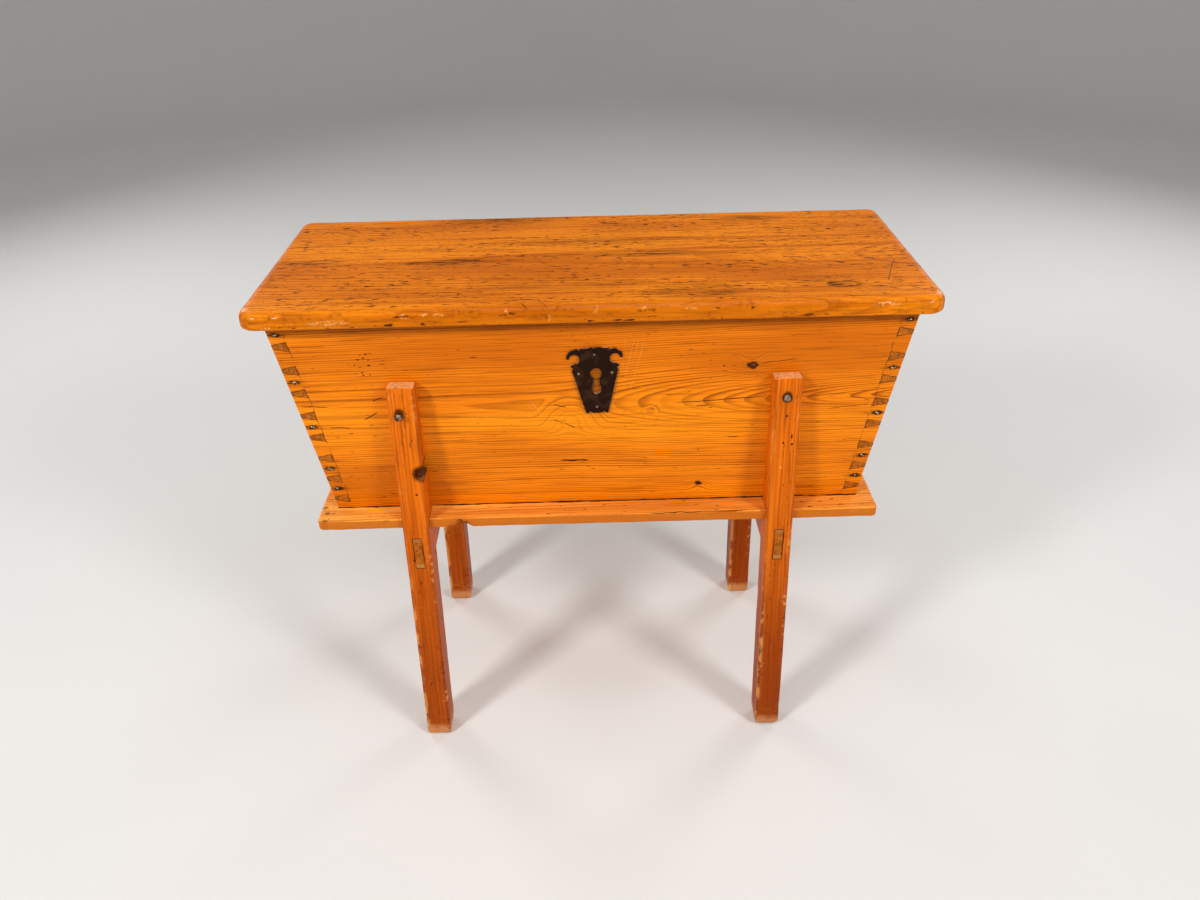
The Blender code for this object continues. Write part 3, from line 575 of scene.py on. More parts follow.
def corner_dirt(paint, x, z):
    """Rust stains round the corner nails, and the scribed line behind the joints."""
    side = abs(x)
    dotted = paint.rise(paint.haze((x, z, 0.0), (20.0, 70.0, 1.0)), 0.44, 0.56)
    scribe = abs(half_length(z) - side - (BOARD_THICKNESS + 0.0008))
    masks = [(1.0 - paint.rise(scribe, 0.0002, 0.0006)) * dotted * 0.8]
    torn = paint.rise(paint.haze((x, z, 3.0), (260.0, 520.0, 1.0)), 0.38, 0.52)
    for number in range(1, CORNER_NAILS + 1):
        centre = node_centre("front_left_corner_nail_%d" % number)
        place = (-centre.x, centre.z)
        masks.append(paint.spot(side, z, place, 0.0056, 0.0029))
        masks.append(paint.spot(side, z, place, 0.0112, 0.0046) * torn)
        masks.append(paint.spot(side, z, (place[0] - 0.003, place[1]), 0.0160, 0.0050) * 0.25)
    return masks


def front_marks(paint, x, y, z):
    """Worm holes, old cracks, joint dirt, a painted shadow strip under the lid, painted shade in the keyhole,
    and scratches of the front board.
    """
    worm_holes = ((-328, 721), (-324, 716), (-332, 714), (-338, 705), (-330, 702), (-318, 704), (-338, 691),
                  (-329, 693), (-328, 688), (-318, 689), (-317, 713), (-320, 722), (153, 543), (185, 689))
    cracks = (((-429, 638), (-386, 636), 0.9), ((-320, 475), (-310, 474), 1.0),
              ((-338, 613), (-318, 624), 1.1), ((-322, 644), (-306, 651), 1.0),
              ((-393, 601), (-359, 598), 0.8), ((-55, 530), (-10, 529), 1.7),
              ((112, 628), (250, 636), 0.9), ((233, 691), (292, 698), 0.7),
              ((147, 622), (168, 623), 0.9), ((304, 633), (413, 643), 0.5),
              ((340, 612), (407, 618), 0.5), ((-61, 631), (-41, 625), 0.9),
              ((-46, 598), (-30, 589), 0.9), ((-62, 606), (-48, 598), 0.7),
              ((150, 480), (164, 478), 1.8), ((152, 484), (160, 483), 1.0), ((196, 566), (214, 566), 0.7))
    scratches = (((58, 738), (42, 669), 0.5), ((64, 738), (54, 692), 0.4), ((73, 738), (50, 648), 0.5),
                 ((44, 739), (45, 724), 0.4), ((40, 665), (61, 663), 0.4), ((-93, 637), (-79, 613), 0.7))
    masks = [paint.spot(x, z, mm(place), 0.0011 + 0.0007 * (order % 3), 0.0010 + 0.0003 * (order % 2))
             for order, place in enumerate(worm_holes)]
    masks += strokes(paint, x, z, cracks)
    ragged = paint.haze((x, z, 0.0), (30.0, 30.0, 1.0)) * 0.0024
    masks.append((1.0 - paint.rise(z - ragged, BASE_TOP - 0.0004, BASE_TOP + 0.0006)) * 0.9)
    masks += corner_dirt(paint, x, z)
    masks.append(paint.stroke(x, z, (-0.385, 0.460), (-0.312, 0.461), 0.0009) * 0.4)
    # Painted shadow of the lid's overhang: a dark strip along the top of the board's outer face.
    outside = paint.rise(-1.0 * paint.split(paint.normal)[1], 0.60, 0.90)
    shadow_strip_low, shadow_strip_high = 0.7565, 0.7645
    masks.append(paint.rise(z + 2.0 * ragged, shadow_strip_low, shadow_strip_high) * outside * 0.4)
    # Rust round the lock plate, and painted shade on the wood seen through the keyhole.
    around_plate, keyhole = spots(paint, x, z, ((2, 668, 34, 64), (3, 668, 12.5, 26)))
    masks += [around_plate * 0.42, keyhole * 0.62]
    pale = [mask * 0.55 for mask in strokes(paint, x, z, scratches)]
    return strongest(paint, masks), strongest(paint, pale)


def back_marks(paint, x, y, z):
    """A few cracks and the joint dirt of the back board."""
    masks = strokes(paint, x, z, (((-300, 705), (-212, 708), 1.0), ((110, 512), (205, 510), 0.9)))
    masks.append((1.0 - paint.rise(z, BASE_TOP + 0.0004, BASE_TOP + 0.0018)) * 0.7)
    return strongest(paint, masks), None


def lid_marks(paint, x, y, z):
    """Checks, dark smears and a knot's ring on the lid, and dents, bare wood and painted highlights along its
    front edge.
    """
    cracks = (((-462, -12), (-396, 6), 1.6), ((-404, 5), (-372, 15), 1.0), ((-401, 3), (-400, 13), 0.8),
              ((-246, -12), (-196, -22), 2.0), ((-206, -22), (-148, 4), 1.4),
              ((-284, -104), (-254, -99), 1.3),
              ((44, 2), (140, -2), 1.5), ((292, -29), (312, -28), 1.4), ((330, -25), (348, -24), 1.0),
              ((236, 156), (285, 150), 2.2), ((-180, 180), (-126, 175), 2.0),
              ((-222, 181), (-105, 163), 1.6),
              ((443, -45), (410, -134), 0.6), ((-97, -174), (-73, -210), 0.6),
              ((-76, -163), (-52, -204), 0.6),
              ((422, -120), (437, -117), 1.1), ((14, -5), (28, 1), 1.8), ((-49, 3), (-10, 3), 1.0),
              ((14, 147), (44, 142), 2.0), ((182, 153), (212, 145), 1.6), ((229, -150), (269, -161), 0.8),
              ((-52, -54), (-28, -55), 1.2), ((-216, -130), (-186, -136), 0.9),
              ((-428, -142), (-405, -147), 0.8), ((-186, -146), (-183, -137), 1.0),
              ((-356, -108), (-347, -100), 0.8))
    smears = ((-425, -4, 66, 10, 0.70), (-215, -16, 70, 13, 0.75), (146, -145, 80, 30, 0.45),
              (90, 0, 110, 14, 0.60), (-150, 172, 120, 18, 0.65), (250, 154, 80, 14, 0.60),
              (20, 60, 160, 22, 0.40), (-40, -120, 140, 24, 0.35))
    knot_ring = ((350, -138, 25, 12.5), (351, -138, 20, 8.5), (340, -139, 10, 3))
    bruises = ((-259, 791, 8, 1.6), (-250, 792, 5, 1.4), (-120, 790, 6, 1.3), (-108, 792, 5, 2.0),
               (-62, 787, 1.4, 4.0), (66, 792, 8, 1.3), (80, 792, 6, 1.6), (-178, 795, 1.2, 3.0),
               (168, 793, 4, 1.2), (214, 792, 3, 1.8))
    scratches = (((256, -156), (272, -125), 0.5), ((236, -170), (262, -186), 0.6))
    # Pale spots along the front edge: bare wood, and painted highlights beside the dents.
    rubs_and_highlights = ((-226, 793, 6, 2.0), (-205, 792, 9, 2.0), (-252, 789, 8, 1.2), (-116, 795, 3, 2.5),
            (-58, 785, 2, 4.5), (72, 795, 7, 1.6), (132, 793, 9, 1.6), (-440, 780, 12, 2.0),
            (-355, 785, 30, 4.0), (395, 792, 20, 3.0))
    upper = paint.rise(z, LID_HIGH.z - 0.004, LID_HIGH.z - 0.001)
    front = paint.rise(-1.0 * y, 0.176, 0.184)
    masks = [mask * upper for mask in strokes(paint, x, y, cracks)]
    streaky = paint.rise(paint.haze((x, y, 0.0), (13.0, 400.0, 1.0)), 0.40, 0.62) * upper
    masks += [mask * row[4] * streaky for mask, row in zip(spots(paint, x, y, smears), smears)]
    outer, inner, heart = spots(paint, x, y, knot_ring)
    masks.append(paint.larger(outer * (1.0 - inner), heart) * upper * 0.9)
    torn = paint.rise(paint.haze((x, y, z), (330.0, 330.0, 500.0)), 0.40, 0.56) * front * 0.8
    masks += [mask * torn for mask in spots(paint, x, z, bruises)]
    pale = [mask * 0.5 * upper for mask in strokes(paint, x, y, scratches)]
    chalky = paint.rise(paint.haze((x, y, z), 260.0), 0.40, 0.60) * front * 0.7
    pale += [mask * chalky for mask in spots(paint, x, z, rubs_and_highlights)]
    return strongest(paint, masks), strongest(paint, pale)


def leg_marks(paint, x, y, z):
    """Old nail holes, rust round the screws, dirt round the mortises, and painted shade in the broken notch.
    """
    front = 1.0 - paint.rise(y, -0.01, 0.01)
    holes = ((276.6, 617, 1.8, 2.0), (274.0, 572, 1.8, 2.0), (287.5, 570, 1.8, 2.0), (-271.0, 499, 1.8, 2.0))
    masks = [mask * front for mask in spots(paint, x, z, holes)]
    for place, ends in PLACES.items():
        centre = node_centre(place + "_leg_screw")
        here = front if ends[1] < 0 else 1.0 - front
        masks.append(paint.spot(x, z, (centre.x, centre.z), 0.0082, 0.0105) * here * 0.85)
        run = paint.stroke(x, z, (centre.x, centre.z), (centre.x, centre.z - 0.040), 0.0026)
        masks.append(run * here * 0.22)
    low, high = mortise_span()
    middle, half_height, half_width = (low + high) / 2, (high - low) / 2, 0.0068
    past_x = abs(abs(x) - leg_centre(middle)) - half_width
    past_z = abs(z - middle) - half_height
    masks.append((1.0 - paint.rise(paint.larger(past_x, past_z), 0.0003, 0.0012)) * 0.9)
    # Painted shade inside the broken notch.
    masks.append(paint.spot(x, z, NOTCH_PLACE, 0.0156, 0.0152) * front * 0.97)
    masks.append(paint.rise(paint.haze((x, y, z), (55.0, 55.0, 24.0), 3.0), 0.69, 0.75) * 0.8)
    pale = [paint.spot(x, z, (0.274, 0.531), 0.0013, 0.0022) * front]
    scuffs = paint.rise(paint.haze((x, y, z), (34.0, 34.0, 150.0), 3.0), 0.50, 0.60)
    pale.append(scuffs * (1.0 - paint.rise(z, 0.014, 0.065)) * 0.9)
    scrapes = paint.rise(paint.haze((x, y, z), (60.0, 60.0, 260.0)), 0.70, 0.76)
    pale.append(scrapes * (1.0 - paint.rise(z, 0.30, 0.50)) * 0.7)
    return strongest(paint, masks), strongest(paint, pale)


def leg_shade_and_wear(paint, x, y, z, colour, colours):
    """The leg darkens towards the foot, partly as painted shade, and the right-hand legs more so as painted
    shade; the finish is rubbed off the foot and off the left-hand edges.
    """
    # Painted shade: darker towards the foot, and darker still on the right-hand legs.
    shaded = 0.70 + 0.14 * paint.rise(x, -0.05, 0.05)
    deep = rgba(colours.leg, 0.30, 0.17, 0.15)
    colour = paint.blend((1.0 - paint.rise(z, 0.10, 0.54)) * shaded, colour, deep)
    across = x - x.sign() * leg_centre(z)
    left_edge = paint.attribute("wear") * (1.0 - paint.rise(across, -0.017, -0.012))
    strips = paint.haze((x, y, z), (70.0, 70.0, 32.0), 3.0)
    left_edge = left_edge * paint.rise(strips, 0.49, 0.58) * (1.0 - paint.rise(z, 0.24, 0.42))
    colour = paint.blend(left_edge * 0.65, colour, rgba(colours.rubbed))
    ragged = z + 0.020 * paint.haze((x, y, z), (60.0, 60.0, 30.0))
    return paint.blend((1.0 - paint.rise(ragged, 0.022, 0.040)) * 0.45, colour, rgba(colours.bare_end))


def base_marks(paint, x, y, z):
    """Dirt along the joint with the box, small dents, and painted shade in the chip."""
    away = paint.larger(abs(x) - FLOOR_HALF_LENGTH, abs(y) - FLOOR_HALF_DEPTH)
    ragged = paint.haze((x, y, 0.0), (24.0, 24.0, 1.0)) * 0.0026
    joint = 1.0 - paint.rise(away - ragged, -0.0010, 0.0002)
    masks = [joint * paint.rise(z, BASE_TOP - 0.004, BASE_TOP - 0.002) * 0.95]
    masks.append(paint.rise(paint.haze((x, y, z), (60.0, 90.0, 90.0)), 0.715, 0.76) * 0.7)
    masks.append(paint.stroke(x, y, (0.070, -0.1775), (0.235, -0.1768), 0.0009))
    # Painted shade inside the broken chip.
    chip = paint.spot(x, z, (CHIP_PLACE.x, CHIP_PLACE.z), 0.0215, 0.0170)
    masks.append(chip * paint.rise(-1.0 * y, 0.160, 0.168) * 0.92)
    dents = ((-420, -178, 5, 4), (-419, -157, 5, 4), (-426, -141, 5, 4))
    masks += [mask * 0.6 for mask in spots(paint, x, y, dents)]
    return strongest(paint, masks), None


def base_side_shade(paint, x, y, z, colour, colours):
    """Painted shade: the upright edges are darker than the top."""
    upright = abs(paint.split(paint.normal)[2])
    # Painted shade on the faces that do not face up or down.
    edge = 1.0 - paint.rise(upright, 0.35, 0.80)
    return paint.blend(edge * 0.9, colour, rgba(colours.base, 0.52, 0.33, 0.12))


def front_axes(x, y, z):
    """Along, up and into the front board."""
    return x, z, y + half_depth(z)


def back_axes(x, y, z):
    """Along, up and into the back board."""
    return x, z, half_depth(z) - y


def left_axes(x, y, z):
    """Along, up and into the left end board."""
    return y, z, x + half_length(z)


def right_axes(x, y, z):
    """Along, up and into the right end board."""
    return y, z, half_length(z) - x


def lid_axes(x, y, z):
    """Along, across and into the lid."""
    return x, y, LID_HIGH.z - z


def base_axes(x, y, z):
    """Along, across and into the base board."""
    return x, y, BASE_TOP - z


def leg_axes(x, y, z):
    """Along, across and into a leg, each leg from another stretch of the log."""
    return z + 3.3 * x.sign() + 7.7 * y.sign(), abs(x) - leg_centre(z), abs(y) - leg_outside(z)


def rail_axes(x, y, z):
    """Along, up and into a cross rail."""
    return y, z, x


def lid_pine(settings):
    """The lid: wide rings, many flecks and one faint knot."""
    grain = Grain(lid_axes, 0, 4.0, (-0.010, 0.125), (-0.03, -0.012), (0.22, -0.16),
                  ((0.350, -0.138, 0.0085, 0.25),), 0.012)
    # Painted shade on the lid's top: its pine is the boards' honey pine made darker.
    light = [0.74 * part for part in settings.colours.honey]
    return paint_pine("honey_pine_lid", grain, light, settings.colours.honey_line, settings, lid_marks,
                      wear=0.15, lines=0.62, fleck=1.45, streak=0.75, roughness=0.36, pitch=1.7,
                      gloss=0.05, fine=0.55)


def front_pine(settings):
    """The front board: arched rings right of the middle, and four knots."""
    grain = Grain(front_axes, 0, 1.0, (0.632, 0.0546), (0.012, 0.0), (-0.02, -0.112),
                  ((0.226, 0.689, 0.0075, 0.95), (0.157, 0.480, 0.0050, 0.95),
                   (-0.034, 0.611, 0.0100, 0.0), (0.083, 0.619, 0.0024, 0.4)))
    colours = settings.colours
    return paint_pine("honey_pine_front", grain, colours.honey, colours.honey_line, settings,
                      front_marks, fleck=0.35, lines=0.95, streak=0.40, gloss=0.14)


def plain_board_pine(settings, name, grain, marks=None):
    """The back board and the two end boards."""
    colours = settings.colours
    return paint_pine(name, grain, colours.honey, colours.honey_line, settings, marks, fleck=0.35)


def base_pine(settings):
    """The base board: pale, with broad rings and painted shade on its upright edges."""
    grain = Grain(base_axes, 0, 21.0, (0.060, 0.080), (0.02, 0.06))
    colours = settings.colours
    return paint_pine("peach_pine_base", grain, colours.base, colours.base_line, settings,
                      base_marks, base_side_shade, wear=0.30, end_mix=0.45, end_colour=colours.base_line,
                      lines=1.0, streak=0.8, fine=0.40, pitch=1.8, gloss=0.14)


def leg_pine(settings):
    """The legs: reddish, much knocked, with bare ends."""
    grain = Grain(leg_axes, 2, 27.0, (-0.030, 0.050), sway=0.012)
    colours = settings.colours
    return paint_pine("reddish_pine_leg", grain, colours.leg, colours.leg_line, settings, leg_marks, leg_shade_and_wear,
                      wear=0.80, fleck=0.75, end_mix=0.8, end_colour=colours.bare_end, mottle=0.3,
                      lines=0.80, streak=0.60, roughness=0.42, pitch=0.9, gloss=0.06, fine=0.55)


def rail_pine(settings):
    """The cross rails, in the legs' wood."""
    grain = Grain(rail_axes, 1, 31.0, (0.300, 0.030), (0.04, 0.02))
    return paint_pine("reddish_pine_rail", grain, settings.colours.leg, settings.colours.leg_line, settings,
                      fleck=0.4, roughness=0.44, pitch=0.8)


def paint_wedge(settings):
    """Pale split wood with rough end grain, browner in the upper wedges."""
    colours = settings.colours
    paint = Paint("pale_wedge_wood_dry", Specular_IOR_Level=0.3)
    x, y, z = paint.split(paint.point)
    streak = paint.haze((x, y, z), (700.0, 30.0, 700.0))
    broad = paint.haze((x, y, z), (120.0, 60.0, 160.0))
    colour = paint.blend(streak, rgba(colours.wedge), rgba(colours.wedge, 0.55))
    colour = paint.blend(paint.rise(broad, 0.5, 0.8) * 0.6, colour, rgba(colours.end_grain))
    middle = sum(mortise_span()) / 2
    colour = paint.blend(paint.rise(z, middle, middle + 0.002) * 0.7, colour, rgba(colours.end_grain))
    return paint.finish(colour, 0.52 + 0.2 * streak, streak + broad, 0.0005)


def paint_iron(name, settings, share, rust=0.5, shine=0.0, highlight_from_above=False):
    """Forged iron: black scale, brown rust in the hollows, rubbed bright edges and painted glints.

    share is how bright the scale is, and shine how much of the worn parts shows bare metal and painted
    glints.
    The last flag keeps the bare metal, with its painted highlight, to the parts that face upward.
    """
    colours = settings.colours
    paint = Paint(name, Specular_IOR_Level=0.22)
    place = paint.split(paint.point)
    hammer = paint.haze(place, 150.0)
    grit = paint.haze(place, 1100.0, 3.0, 0.6)
    cloud = paint.haze(place, 60.0, 3.0)
    brown = (0.085, 0.034, 0.014, 1.0)
    colour = paint.blend(paint.rise(cloud, 0.48, 0.72) * rust, rgba(colours.iron, share), brown)
    colour = paint.blend(paint.rise(grit, 0.56, 0.74) * 0.45, colour, rgba(colours.iron, 1.9 * share))
    rough = 0.40 + 0.22 * cloud + 0.12 * grit
    rub = paint.attribute("wear") * paint.rise(cloud * 0.6 + hammer * 0.6, 0.54 - shine, 0.74 - shine)
    # Painted highlight: bright metal only on the parts that face upward.
    if highlight_from_above:
        rub = rub * (0.10 + 0.90 * paint.rise(paint.split(paint.normal)[2], 0.10, 0.60))
    colour = paint.blend(rub, colour, rgba(colours.glint_and_rubbed_iron))
    rough = rough - 0.20 * rub
    paint.feed(paint.shader.inputs["Metallic"], 0.94 - 0.5 * paint.rise(cloud, 0.52, 0.75) * rust)
    return paint.finish(colour, rough, hammer + grit * 0.18, 0.0009)


MADE = {}


def materials():
    """Every finish of the box, made once and kept by name."""
    if not MADE:
        settings = bpy.context.scene.dough_box
        back = Grain(back_axes, 0, 9.0, (0.600, 0.060), (-0.03, 0.030), (0.0, 0.08),
                     ((-0.170, 0.560, 0.008, 0.9),))
        left = Grain(left_axes, 1, 13.0, (0.560, 0.050), (0.05, 0.10))
        right = Grain(right_axes, 1, 17.0, (0.640, 0.045), (-0.05, -0.08))
        MADE["lid"] = lid_pine(settings)
        MADE["front"] = front_pine(settings)
        MADE["back"] = plain_board_pine(settings, "honey_pine_back", back, back_marks)
        MADE["left_end"] = plain_board_pine(settings, "honey_pine_left_end", left)
        MADE["right_end"] = plain_board_pine(settings, "honey_pine_right_end", right)
        MADE["base"] = base_pine(settings)
        MADE["leg"] = leg_pine(settings)
        MADE["rail"] = rail_pine(settings)
        MADE["wedge"] = paint_wedge(settings)
        MADE["plate"] = paint_iron("black_iron_plate", settings, 1.0, 0.45, 0.05, True)
        MADE["nail"] = paint_iron("black_iron_nail", settings, 1.3, 0.6, 0.12)
        MADE["screw"] = paint_iron("worn_iron_screw", settings, 2.6, 0.5, 0.08)
        MADE["hinge"] = paint_iron("black_iron_hinge", settings, 1.5, 0.6)
    return MADE


def solid_copy(node):
    """A solid of the frame as an editable mesh of whole flat faces."""
    source = frame["nodes"][node].data
    mesh = bmesh.new()
    points = [mesh.verts.new(vertex.co) for vertex in source.vertices]
    for polygon in source.polygons:
        mesh.faces.new([points[index] for index in polygon.vertices])
    bmesh.ops.remove_doubles(mesh, verts=mesh.verts, dist=1e-6)
    bmesh.ops.dissolve_limit(mesh, angle_limit=math.radians(0.6), verts=mesh.verts, edges=mesh.edges)
    bmesh.ops.recalc_face_normals(mesh, faces=mesh.faces)
    return mesh


def soften(mesh, width, segments=2, least_angle=0.5, least_area=0.0):
    """Round the edges between faces that are large enough."""
    edges = []
    for edge in mesh.edges:
        faces = edge.link_faces
        if len(faces) == 2 and edge.calc_face_angle(0.0) > least_angle:
            if min(face.calc_area() for face in faces) > least_area:
                edges.append(edge)
    bevel(mesh, edges, width, segments)


def bevel(mesh, edges, width, segments):
    """Round the given edges."""
    bmesh.ops.bevel(mesh, geom=edges, offset=width, offset_type="OFFSET", segments=segments,
                    profile=0.5, affect="EDGES", clamp_overlap=True)


def wear_layer(mesh):
    """The layer of numbers that says how worn each point is."""
    return mesh.verts.layers.float.get("wear") or mesh.verts.layers.float.new("wear")


def loft(mesh, rings):
    """Close the space between loops that have equal point counts."""
    rows = [[mesh.verts.new(point) for point in ring] for ring in rings]
    mesh.faces.new(rows[0][::-1])
    mesh.faces.new(rows[-1])
    for lower, upper in zip(rows, rows[1:]):
        for index in range(len(lower)):
            after = (index + 1) % len(lower)
            mesh.faces.new((lower[index], lower[after], upper[after], upper[index]))
    return rows


def lofted(rings):
    """A new mesh between loops that have equal point counts."""
    mesh = bmesh.new()
    loft(mesh, rings)
    return mesh


def placed(name, mesh):
    """An object in the scene from a mesh, which is used up."""
    data = bpy.data.meshes.new(name)
    mesh.to_mesh(data)
    mesh.free()
    item = bpy.data.objects.new(name, data)
    bpy.context.scene.collection.objects.link(item)
    return item


def show(name, mesh, finish, nodes, smooth_angle=40.0):
    """Make a piece from a mesh: it rides with its solids' body and stands for them."""
    bmesh.ops.recalc_face_normals(mesh, faces=mesh.faces)
    item = placed(name, mesh)
    item.data.materials.append(materials()[finish])
    settle(item, smooth_angle)
    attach(item, BODY_OF[nodes[0]])
    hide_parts(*nodes)


def settle(item, smooth_angle):
    """Smooth shading up to an angle, with normals led by the large faces."""
    item.data.shade_smooth()
    item.data.set_sharp_from_angle(angle=math.radians(smooth_angle))
    step = item.modifiers.new("even shading", "WEIGHTED_NORMAL")
    step.keep_sharp = True
    step.weight = 60


def carve(mesh, cutters):
    """Take other meshes away from a mesh, and give back the result."""
    item = placed("block", mesh)
    tools = []
    for shape in cutters:
        bmesh.ops.recalc_face_normals(shape, faces=shape.faces)
        tool = placed("cutter", shape)
        step = item.modifiers.new("carve", "BOOLEAN")
        step.operation = "DIFFERENCE"
        step.solver = "EXACT"
        step.object = tool
        tools.append(tool)
    bpy.context.view_layer.update()
    result = bmesh.new()
    result.from_object(item, bpy.context.evaluated_depsgraph_get())
    for made in [item] + tools:
        data = made.data
        bpy.data.objects.remove(made)
        bpy.data.meshes.remove(data)
    return result


def wander(point, scale, seed=0.0):
    """Smooth noise from -1 to 1 at a point."""
    x, y, z = point
    return noise.noise(Vector((x * scale + seed, y * scale - seed, z * scale + 2 * seed)))


def press_in(mesh, depth):
    """Move every point inward by the depth that a function gives for it."""
    mesh.normal_update()
    for vertex in mesh.verts:
        vertex.co = vertex.co - vertex.normal * max(0.0, depth(vertex))


def rounded_ring(half_x, half_y, front_radius, back_radius, z, long_steps, short_steps, corner_steps=8):
    """A loop round a board, with evenly divided sides between its rounded corners."""
    corners = (
        (half_x - front_radius, front_radius - half_y, front_radius, -0.5 * math.pi),
        (half_x - back_radius, half_y - back_radius, back_radius, 0.0),
        (back_radius - half_x, half_y - back_radius, back_radius, 0.5 * math.pi),
        (front_radius - half_x, front_radius - half_y, front_radius, math.pi),
    )
    loop = []
    for number, (x, y, radius, start) in enumerate(corners):
        for step in range(corner_steps + 1):
            angle = start + 0.5 * math.pi * step / corner_steps
            loop.append(Vector((x + radius * math.cos(angle), y + radius * math.sin(angle), z)))
        after_x, after_y, after_radius, after_start = corners[(number + 1) % 4]
        first = loop[-1]
        last = Vector((after_x + after_radius * math.cos(after_start),
                       after_y + after_radius * math.sin(after_start), z))
        steps = short_steps if number % 2 == 0 else long_steps
        for step in range(1, steps):
            loop.append(first.lerp(last, step / steps))
    return loop


def board_profile(lower, upper, thickness, steps):
    """Half section of a board with rounded edges: (inset, rise, wear) from below to above."""
    rows = []
    for step in range(steps + 1):
        angle = 0.5 * math.pi * step / steps
        rows.append((lower * (1 - math.sin(angle)), lower * (1 - math.cos(angle)), math.sin(2 * angle)))
    for step in range(steps + 1):
        angle = 0.5 * math.pi * step / steps
        rows.append((upper * (1 - math.cos(angle)), thickness - upper * (1 - math.sin(angle)),
                     0.35 + 0.65 * math.sin(2 * angle)))
    return rows


def lofted_board(low, high, front_corner, back_corner, profile, inner, long_steps, short_steps):
    """A board from concentric loops, dense at its edges, that carries its wear."""
    mesh = bmesh.new()
    layer = wear_layer(mesh)
    half_x = (high.x - low.x) / 2
    half_y = (high.y - low.y) / 2
    rows = [(inset, 0.0, 0.0) for inset in reversed(inner)] + list(profile)
    rows += [(inset, high.z - low.z, 0.0) for inset in inner]
    least_corner = 0.0008
    rings = []
    for inset, rise, wear in rows:
        corners = [max(corner - inset, least_corner) for corner in (front_corner, back_corner)]
        rings.append(rounded_ring(half_x - inset, half_y - inset, *corners, low.z + rise,
                                  long_steps, short_steps))
    for ring, (inset, rise, wear) in zip(loft(mesh, rings), rows):
        for vertex in ring:
            vertex[layer] = wear
    bmesh.ops.recalc_face_normals(mesh, faces=mesh.faces)
    return mesh


def rough_ball(centre, size, seed, amount=0.25):
    """A knobbly ball that breaks a chip out of a board."""
    mesh = bmesh.new()
    bmesh.ops.create_icosphere(mesh, subdivisions=3, radius=1.0)
    for vertex in mesh.verts:
        grow = 1.0 + amount * wander(vertex.co, 2.3, seed) + 0.5 * amount * wander(vertex.co, 6.0, seed + 5)
        vertex.co = Vector([place + reach * part * grow
                            for place, reach, part in zip(centre, size, vertex.co)])
    return mesh


def leg_slab(low_z, high_z, side, facing, margin):
    """A block of a leg's own section, a little larger, to cut its place in the base."""
    half = LEG_WIDTH / 2 + CLEARANCE
    rings = []
    for z in (low_z, high_z):
        x = side * leg_centre(z)
        inner = facing * (leg_outside(z) - LEG_DEPTH - CLEARANCE)
        outer = facing * (leg_outside(z) + margin)
        near, far = sorted((inner, outer))
        rings.append([(x - half, near, z), (x + half, near, z), (x + half, far, z), (x - half, far, z)])
    return lofted(rings)


class DOUGHBOX_OT_lid(bpy.types.Operator):
    """Make the lid board with its rounded, knocked edges"""
    bl_idname = "doughbox.lid"
    bl_label = "Lid"

    def execute(self, context):
        sizes = context.scene.dough_box.sizes
        profile = board_profile(LOWER_ARRIS, sizes.lid_roundover, LID_HIGH.z - LID_LOW.z, 7)
        inner = (0.015, 0.021, 0.034, 0.060, 0.100, 0.150, 0.185)
        mesh = lofted_board(LID_LOW, LID_HIGH, sizes.lid_front_corner, sizes.lid_back_corner,
                            profile, inner, 300, 90)
        layer = wear_layer(mesh)
        press_in(mesh, lambda vertex: self.knock(vertex.co, vertex[layer]))
        show("lid_worn", mesh, "lid", ["lid"])
        return {"FINISHED"}

    def knock(self, point, wear):
        """How far the worn edge is knocked in at a point: small waves, and nicks given as
        (place along X, reach, depth) in millimetres along the front."""
        nicks = ((-258, 5.2, 1.6), (-207, 6.0, 1.1), (-97, 4.8, 1.8), (-49, 3.0, 1.4), (80, 5.6, 1.5),
                 (131, 4.2, 1.0), (179, 7.0, 1.2), (317, 3.6, 0.9), (-430, 5.0, 1.4), (402, 6.0, 1.0))
        if wear <= 0.0:
            return 0.0
        sink = wear * (0.00045 * (wander(point, 38.0, 2.0) + 0.4) + 0.00028 * wander(point, 120.0, 5.0))
        if point.y < -0.150 and point.z > LID_LOW.z + 0.006:
            for place, reach, depth in map(mm, nicks):
                sink += depth * math.exp(-((point.x - place) / reach) ** 2) * (0.6 + 0.4 * wear)
        return sink


class DOUGHBOX_OT_box_boards(bpy.types.Operator):
    """Make the four dovetailed boards of the box with softened joints"""
    bl_idname = "doughbox.box_boards"
    bl_label = "Box boards"

    def execute(self, context):
        sizes = context.scene.dough_box.sizes
        for board in ("front", "back", "left_end", "right_end"):
            node = board + "_board"
            mesh = solid_copy(node)
            soften(mesh, sizes.board_arris, 2, 0.35, 4.0e-5)
            if board == "front":
                mesh = carve(mesh, [self.gouge()])
            if board.endswith("_end"):
                self.outline_pins(mesh)
            show(node + "_worn", mesh, board, [node], 30.0)
        return {"FINISHED"}

    def gouge(self):
        """The narrow gouge below the lock plate."""
        z = 0.5295
        return rough_ball((-0.0325, -half_depth(z), z), (0.0195, 0.0040, 0.0013), 3.0, 0.12)

    def outline_pins(self, mesh):
        """Darken the edge of each pin's end, where dirt has crept into the joint."""
        layer = mesh.verts.layers.float.new("seam")
        ends = [face for face in mesh.faces
                if abs(face.normal.y) > 0.95 and 1.0e-4 < face.calc_area() < 8.0e-4]
        bmesh.ops.inset_individual(mesh, faces=ends, thickness=0.0015)
        kept = {vertex for face in ends for vertex in face.verts}
        for vertex in kept:
            for edge in vertex.link_edges:
                other = edge.other_vert(vertex)
                if other not in kept:
                    other[layer] = 1.0


